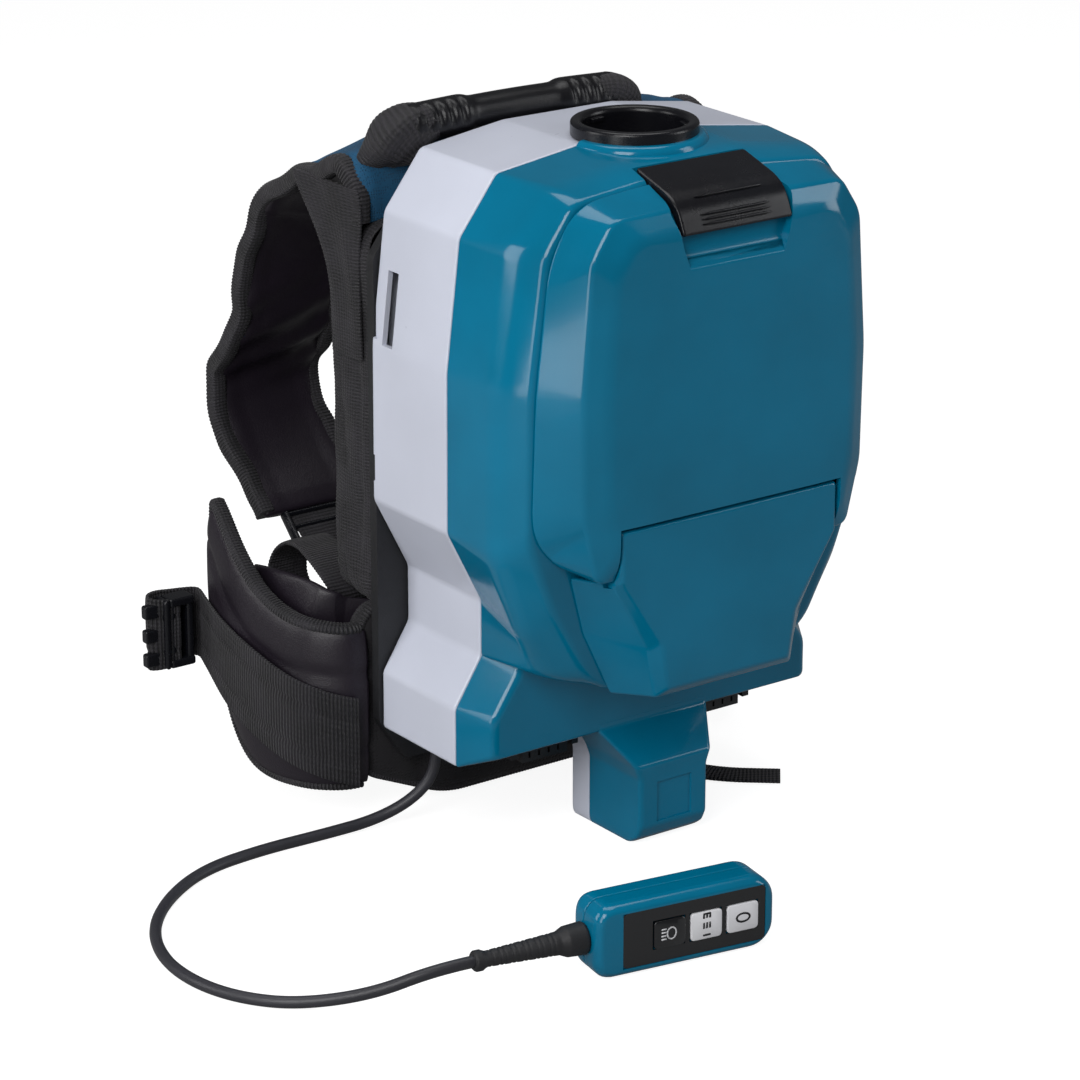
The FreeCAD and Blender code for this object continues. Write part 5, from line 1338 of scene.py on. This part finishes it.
def make_keys(look):
    """Three keys with rounded crowned tops, and the generic figures printed on them."""
    def stroke_circle(cx, cz, rx, rz, count=20):
        turn = np.linspace(0, 2 * math.pi, count + 1)
        at = list(zip(cx + rx * np.cos(turn), cz + rz * np.sin(turn)))
        return list(zip(at[:-1], at[1:]))
    for node_name, x, body, fill, marks in (
            ("stop_key", 30.0, "stop_key_body", "key", stroke_circle(0, 0, 3.6, 2.2)),
            ("speed_key", 10.0, "speed_key_body", "key",
             [((-1.8, -5.0), (1.8, -5.0)), ((-1.6, -1.3), (-1.6, 1.3)), ((1.7, -1.3), (1.7, 1.3)), ((0, -1.3), (0.1, 1.3)),
              ((-1.7, 4.0), (-1.7, 6.2)), ((1.7, 4.0), (1.7, 6.2)), ((0, 4.2), (0, 6.2)), ((-1.7, 6.2), (1.7, 6.2))]),
            ("light_key", -10.0, "light_key_body", "panel",
             stroke_circle(0.8, 0, 2.4, 3.0) + [((-4.6, z), (-2.2, z)) for z in (-2.6, -0.9, 0.9, 2.6)])):
        front = -14.3
        half_x, half_z = 8.5, 7.2
        ring = np.array([(x - half_x, 19 - half_z), (x + half_x, 19 - half_z), (x + half_x, 19 + half_z),
                         (x - half_x, 19 + half_z)])
        rows = [at_y(ring, -12.4), at_y(ring, front + 0.35), at_y(inset(ring, 0.5), front)]
        lump = Lump().grid(at_remote(skin(rows, 2.2, [0, 0.3, 0], False, 5, 4)), caps=True)
        moved = [((x + a[0], 19 + a[1]), (x + b[0], 19 + b[1])) for a, b in marks]
        segments(lump, moved, 0.5 if node_name != "light_key" else 0.35, front + 0.02)
        second = "ink" if fill == "key" else "key"
        mesh_piece(lump, f"{node_name}_cap", body, "key_white" if fill == "key" else "panel_black",
                   [fill, second], [node_name])


def finish_nodes(look):
    """Finish of every CAD node that still shows, by its record slot."""
    slots = {entry["node"]: entry["material_slot"] for entry in frame["record"]["subparts"]}
    for name, piece in frame["nodes"].items():
        if piece.hide_render:
            continue
        wanted = slots.get(name)
        finish = materials()[SLOT_FINISH.get(wanted, "dull")]
        if not piece.data.materials:
            piece.data.materials.append(finish)
        for number in range(len(piece.data.materials)):
            piece.data.materials[number] = finish


# ---------------------------------------------------------------- add-on

class VacuumLook(bpy.types.PropertyGroup):
    """Sizes, colours and light of the backpack vacuum cleaner."""
    teal: bpy.props.FloatVectorProperty(name="Teal", description="Colour of the front housing, from 0 to 255",
                                        size=3, default=(0.0, 114.0, 149.0), min=0, max=255)
    white: bpy.props.FloatVectorProperty(name="White", description="Colour of the rear shell, from 0 to 255",
                                         size=3, default=(206.0, 210.0, 224.0), min=0, max=255)
    cord_radius: bpy.props.FloatProperty(name="Cord radius", description="Radius of the remote control's cord",
                                         default=0.003, min=0.001, max=0.01, unit="LENGTH")
    grip_radius: bpy.props.FloatProperty(name="Grip radius", description="Radius of the carrying grip at its middle",
                                         default=0.0088, min=0.004, max=0.02, unit="LENGTH")
    gusset_width: bpy.props.FloatProperty(name="Gusset width", description="Depth of the back pad's creased side",
                                          default=0.033, min=0.022, max=0.05, unit="LENGTH")
    strap_width: bpy.props.FloatProperty(name="Strap width", description="Width of a shoulder strap",
                                         default=0.063, min=0.03, max=0.1, unit="LENGTH")
    strap_thickness: bpy.props.FloatProperty(name="Strap thickness", description="Thickness of a shoulder strap",
                                             default=0.0105, min=0.004, max=0.03, unit="LENGTH")
    belt_width: bpy.props.FloatProperty(name="Belt width", description="Width of the belt's webbing",
                                        default=0.038, min=0.02, max=0.06, unit="LENGTH")
    lens: bpy.props.FloatProperty(name="Lens", description="Focal length of the camera in millimetres",
                                  default=134.23, min=20, max=300)
    key_light: bpy.props.FloatProperty(name="Key light", description="Power of the largest soft box in watts",
                                       default=29.0, min=0, max=1000)
    surroundings: bpy.props.FloatProperty(name="Surroundings", description="Brightness of the studio's walls",
                                          default=0.1, min=0, max=5)


def operator(name, label, doc, make):
    """Operator class that runs make(look) and fails if it raises."""
    def execute(self, context):
        make(context.scene.vacuum_look)
        return {"FINISHED"}
    return type("VACUUM_OT_" + name, (bpy.types.Operator,),
                {"bl_idname": "vacuum." + name, "bl_label": label, "__doc__": doc, "bl_options": {"REGISTER", "UNDO"},
                 "execute": execute})


OPERATORS = [
    operator("stage", "Make Stage", "Make the floor, the lights and the camera", make_stage),
    operator("cord", "Make Cord", "Make the remote's cord, its gland and its strain relief", make_cord),
    operator("rear_shell", "Make Rear Shell", "Make the white rear shell", make_rear_shell),
    operator("front_housing", "Make Front Housing", "Make the teal front housing", make_front_housing),
    operator("lid", "Make Lid", "Make the lid", make_lid),
    operator("lower_cover", "Make Lower Cover", "Make the cover under the lid", make_lower_cover),
    operator("latch", "Make Latch", "Make the lid's latch", make_latch),
    operator("socket", "Make Hose Socket", "Make the hose socket", make_socket),
    operator("grip", "Make Carry Grip", "Make the carry grip and its webbing", make_grip),
    operator("pads", "Make Pads", "Make the back and lumbar pads", make_pads),
    operator("straps", "Make Straps", "Make the shoulder straps and their pull webbing", make_straps),
    operator("wings", "Make Belt Wings", "Make the belt wings and their webbing", make_wings),
    operator("buckles", "Make Buckles", "Make the belt's buckle, the ladder buckles and the belt's tail", make_buckles),
    operator("screws", "Make Screws", "Make the six screws of the housing", make_screws),
    operator("bag", "Make Dust Bag", "Make the fleece dust bag inside the housing", make_bag),
    operator("remote", "Make Remote", "Make the remote control's shell and panel", make_remote),
    operator("keys", "Make Keys", "Make the remote control's keys", make_keys),
    operator("nodes", "Finish Inner Parts", "Give the inner parts their materials", finish_nodes),
]


class VACUUM_PT_builder(bpy.types.Panel):
    """Panel that lists the steps in order"""
    bl_label = "Backpack Vacuum"
    bl_space_type = "VIEW_3D"
    bl_region_type = "UI"
    bl_category = "Backpack Vacuum"

    def draw(self, context):
        look = context.scene.vacuum_look
        for name in VacuumLook.__annotations__:
            self.layout.prop(look, name)
        for kind in OPERATORS:
            self.layout.operator(kind.bl_idname)


def register():
    """Adds the classes and the scene's settings."""
    bpy.utils.register_class(VacuumLook)
    bpy.types.Scene.vacuum_look = bpy.props.PointerProperty(type=VacuumLook)
    for kind in OPERATORS:
        bpy.utils.register_class(kind)
    bpy.utils.register_class(VACUUM_PT_builder)


def unregister():
    """Takes the classes and the scene's settings away."""
    bpy.utils.unregister_class(VACUUM_PT_builder)
    for kind in reversed(OPERATORS):
        bpy.utils.unregister_class(kind)
    del bpy.types.Scene.vacuum_look
    bpy.utils.unregister_class(VacuumLook)


def main():
    """Registers the add-on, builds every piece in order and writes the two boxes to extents.json."""
    register()
    for kind in OPERATORS:
        group, name = kind.bl_idname.split(".")
        if getattr(getattr(bpy.ops, group), name)() != {"FINISHED"}:
            raise RuntimeError(f"{kind.bl_idname} didn't finish")
    low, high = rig.bounds()
    with open(SIZE_FILE, "w") as out:
        json.dump({"cad": [list(CAD_BOX[0]), list(CAD_BOX[1])], "visual": [list(low), list(high)]}, out)


if __name__ == "__main__":
    main()
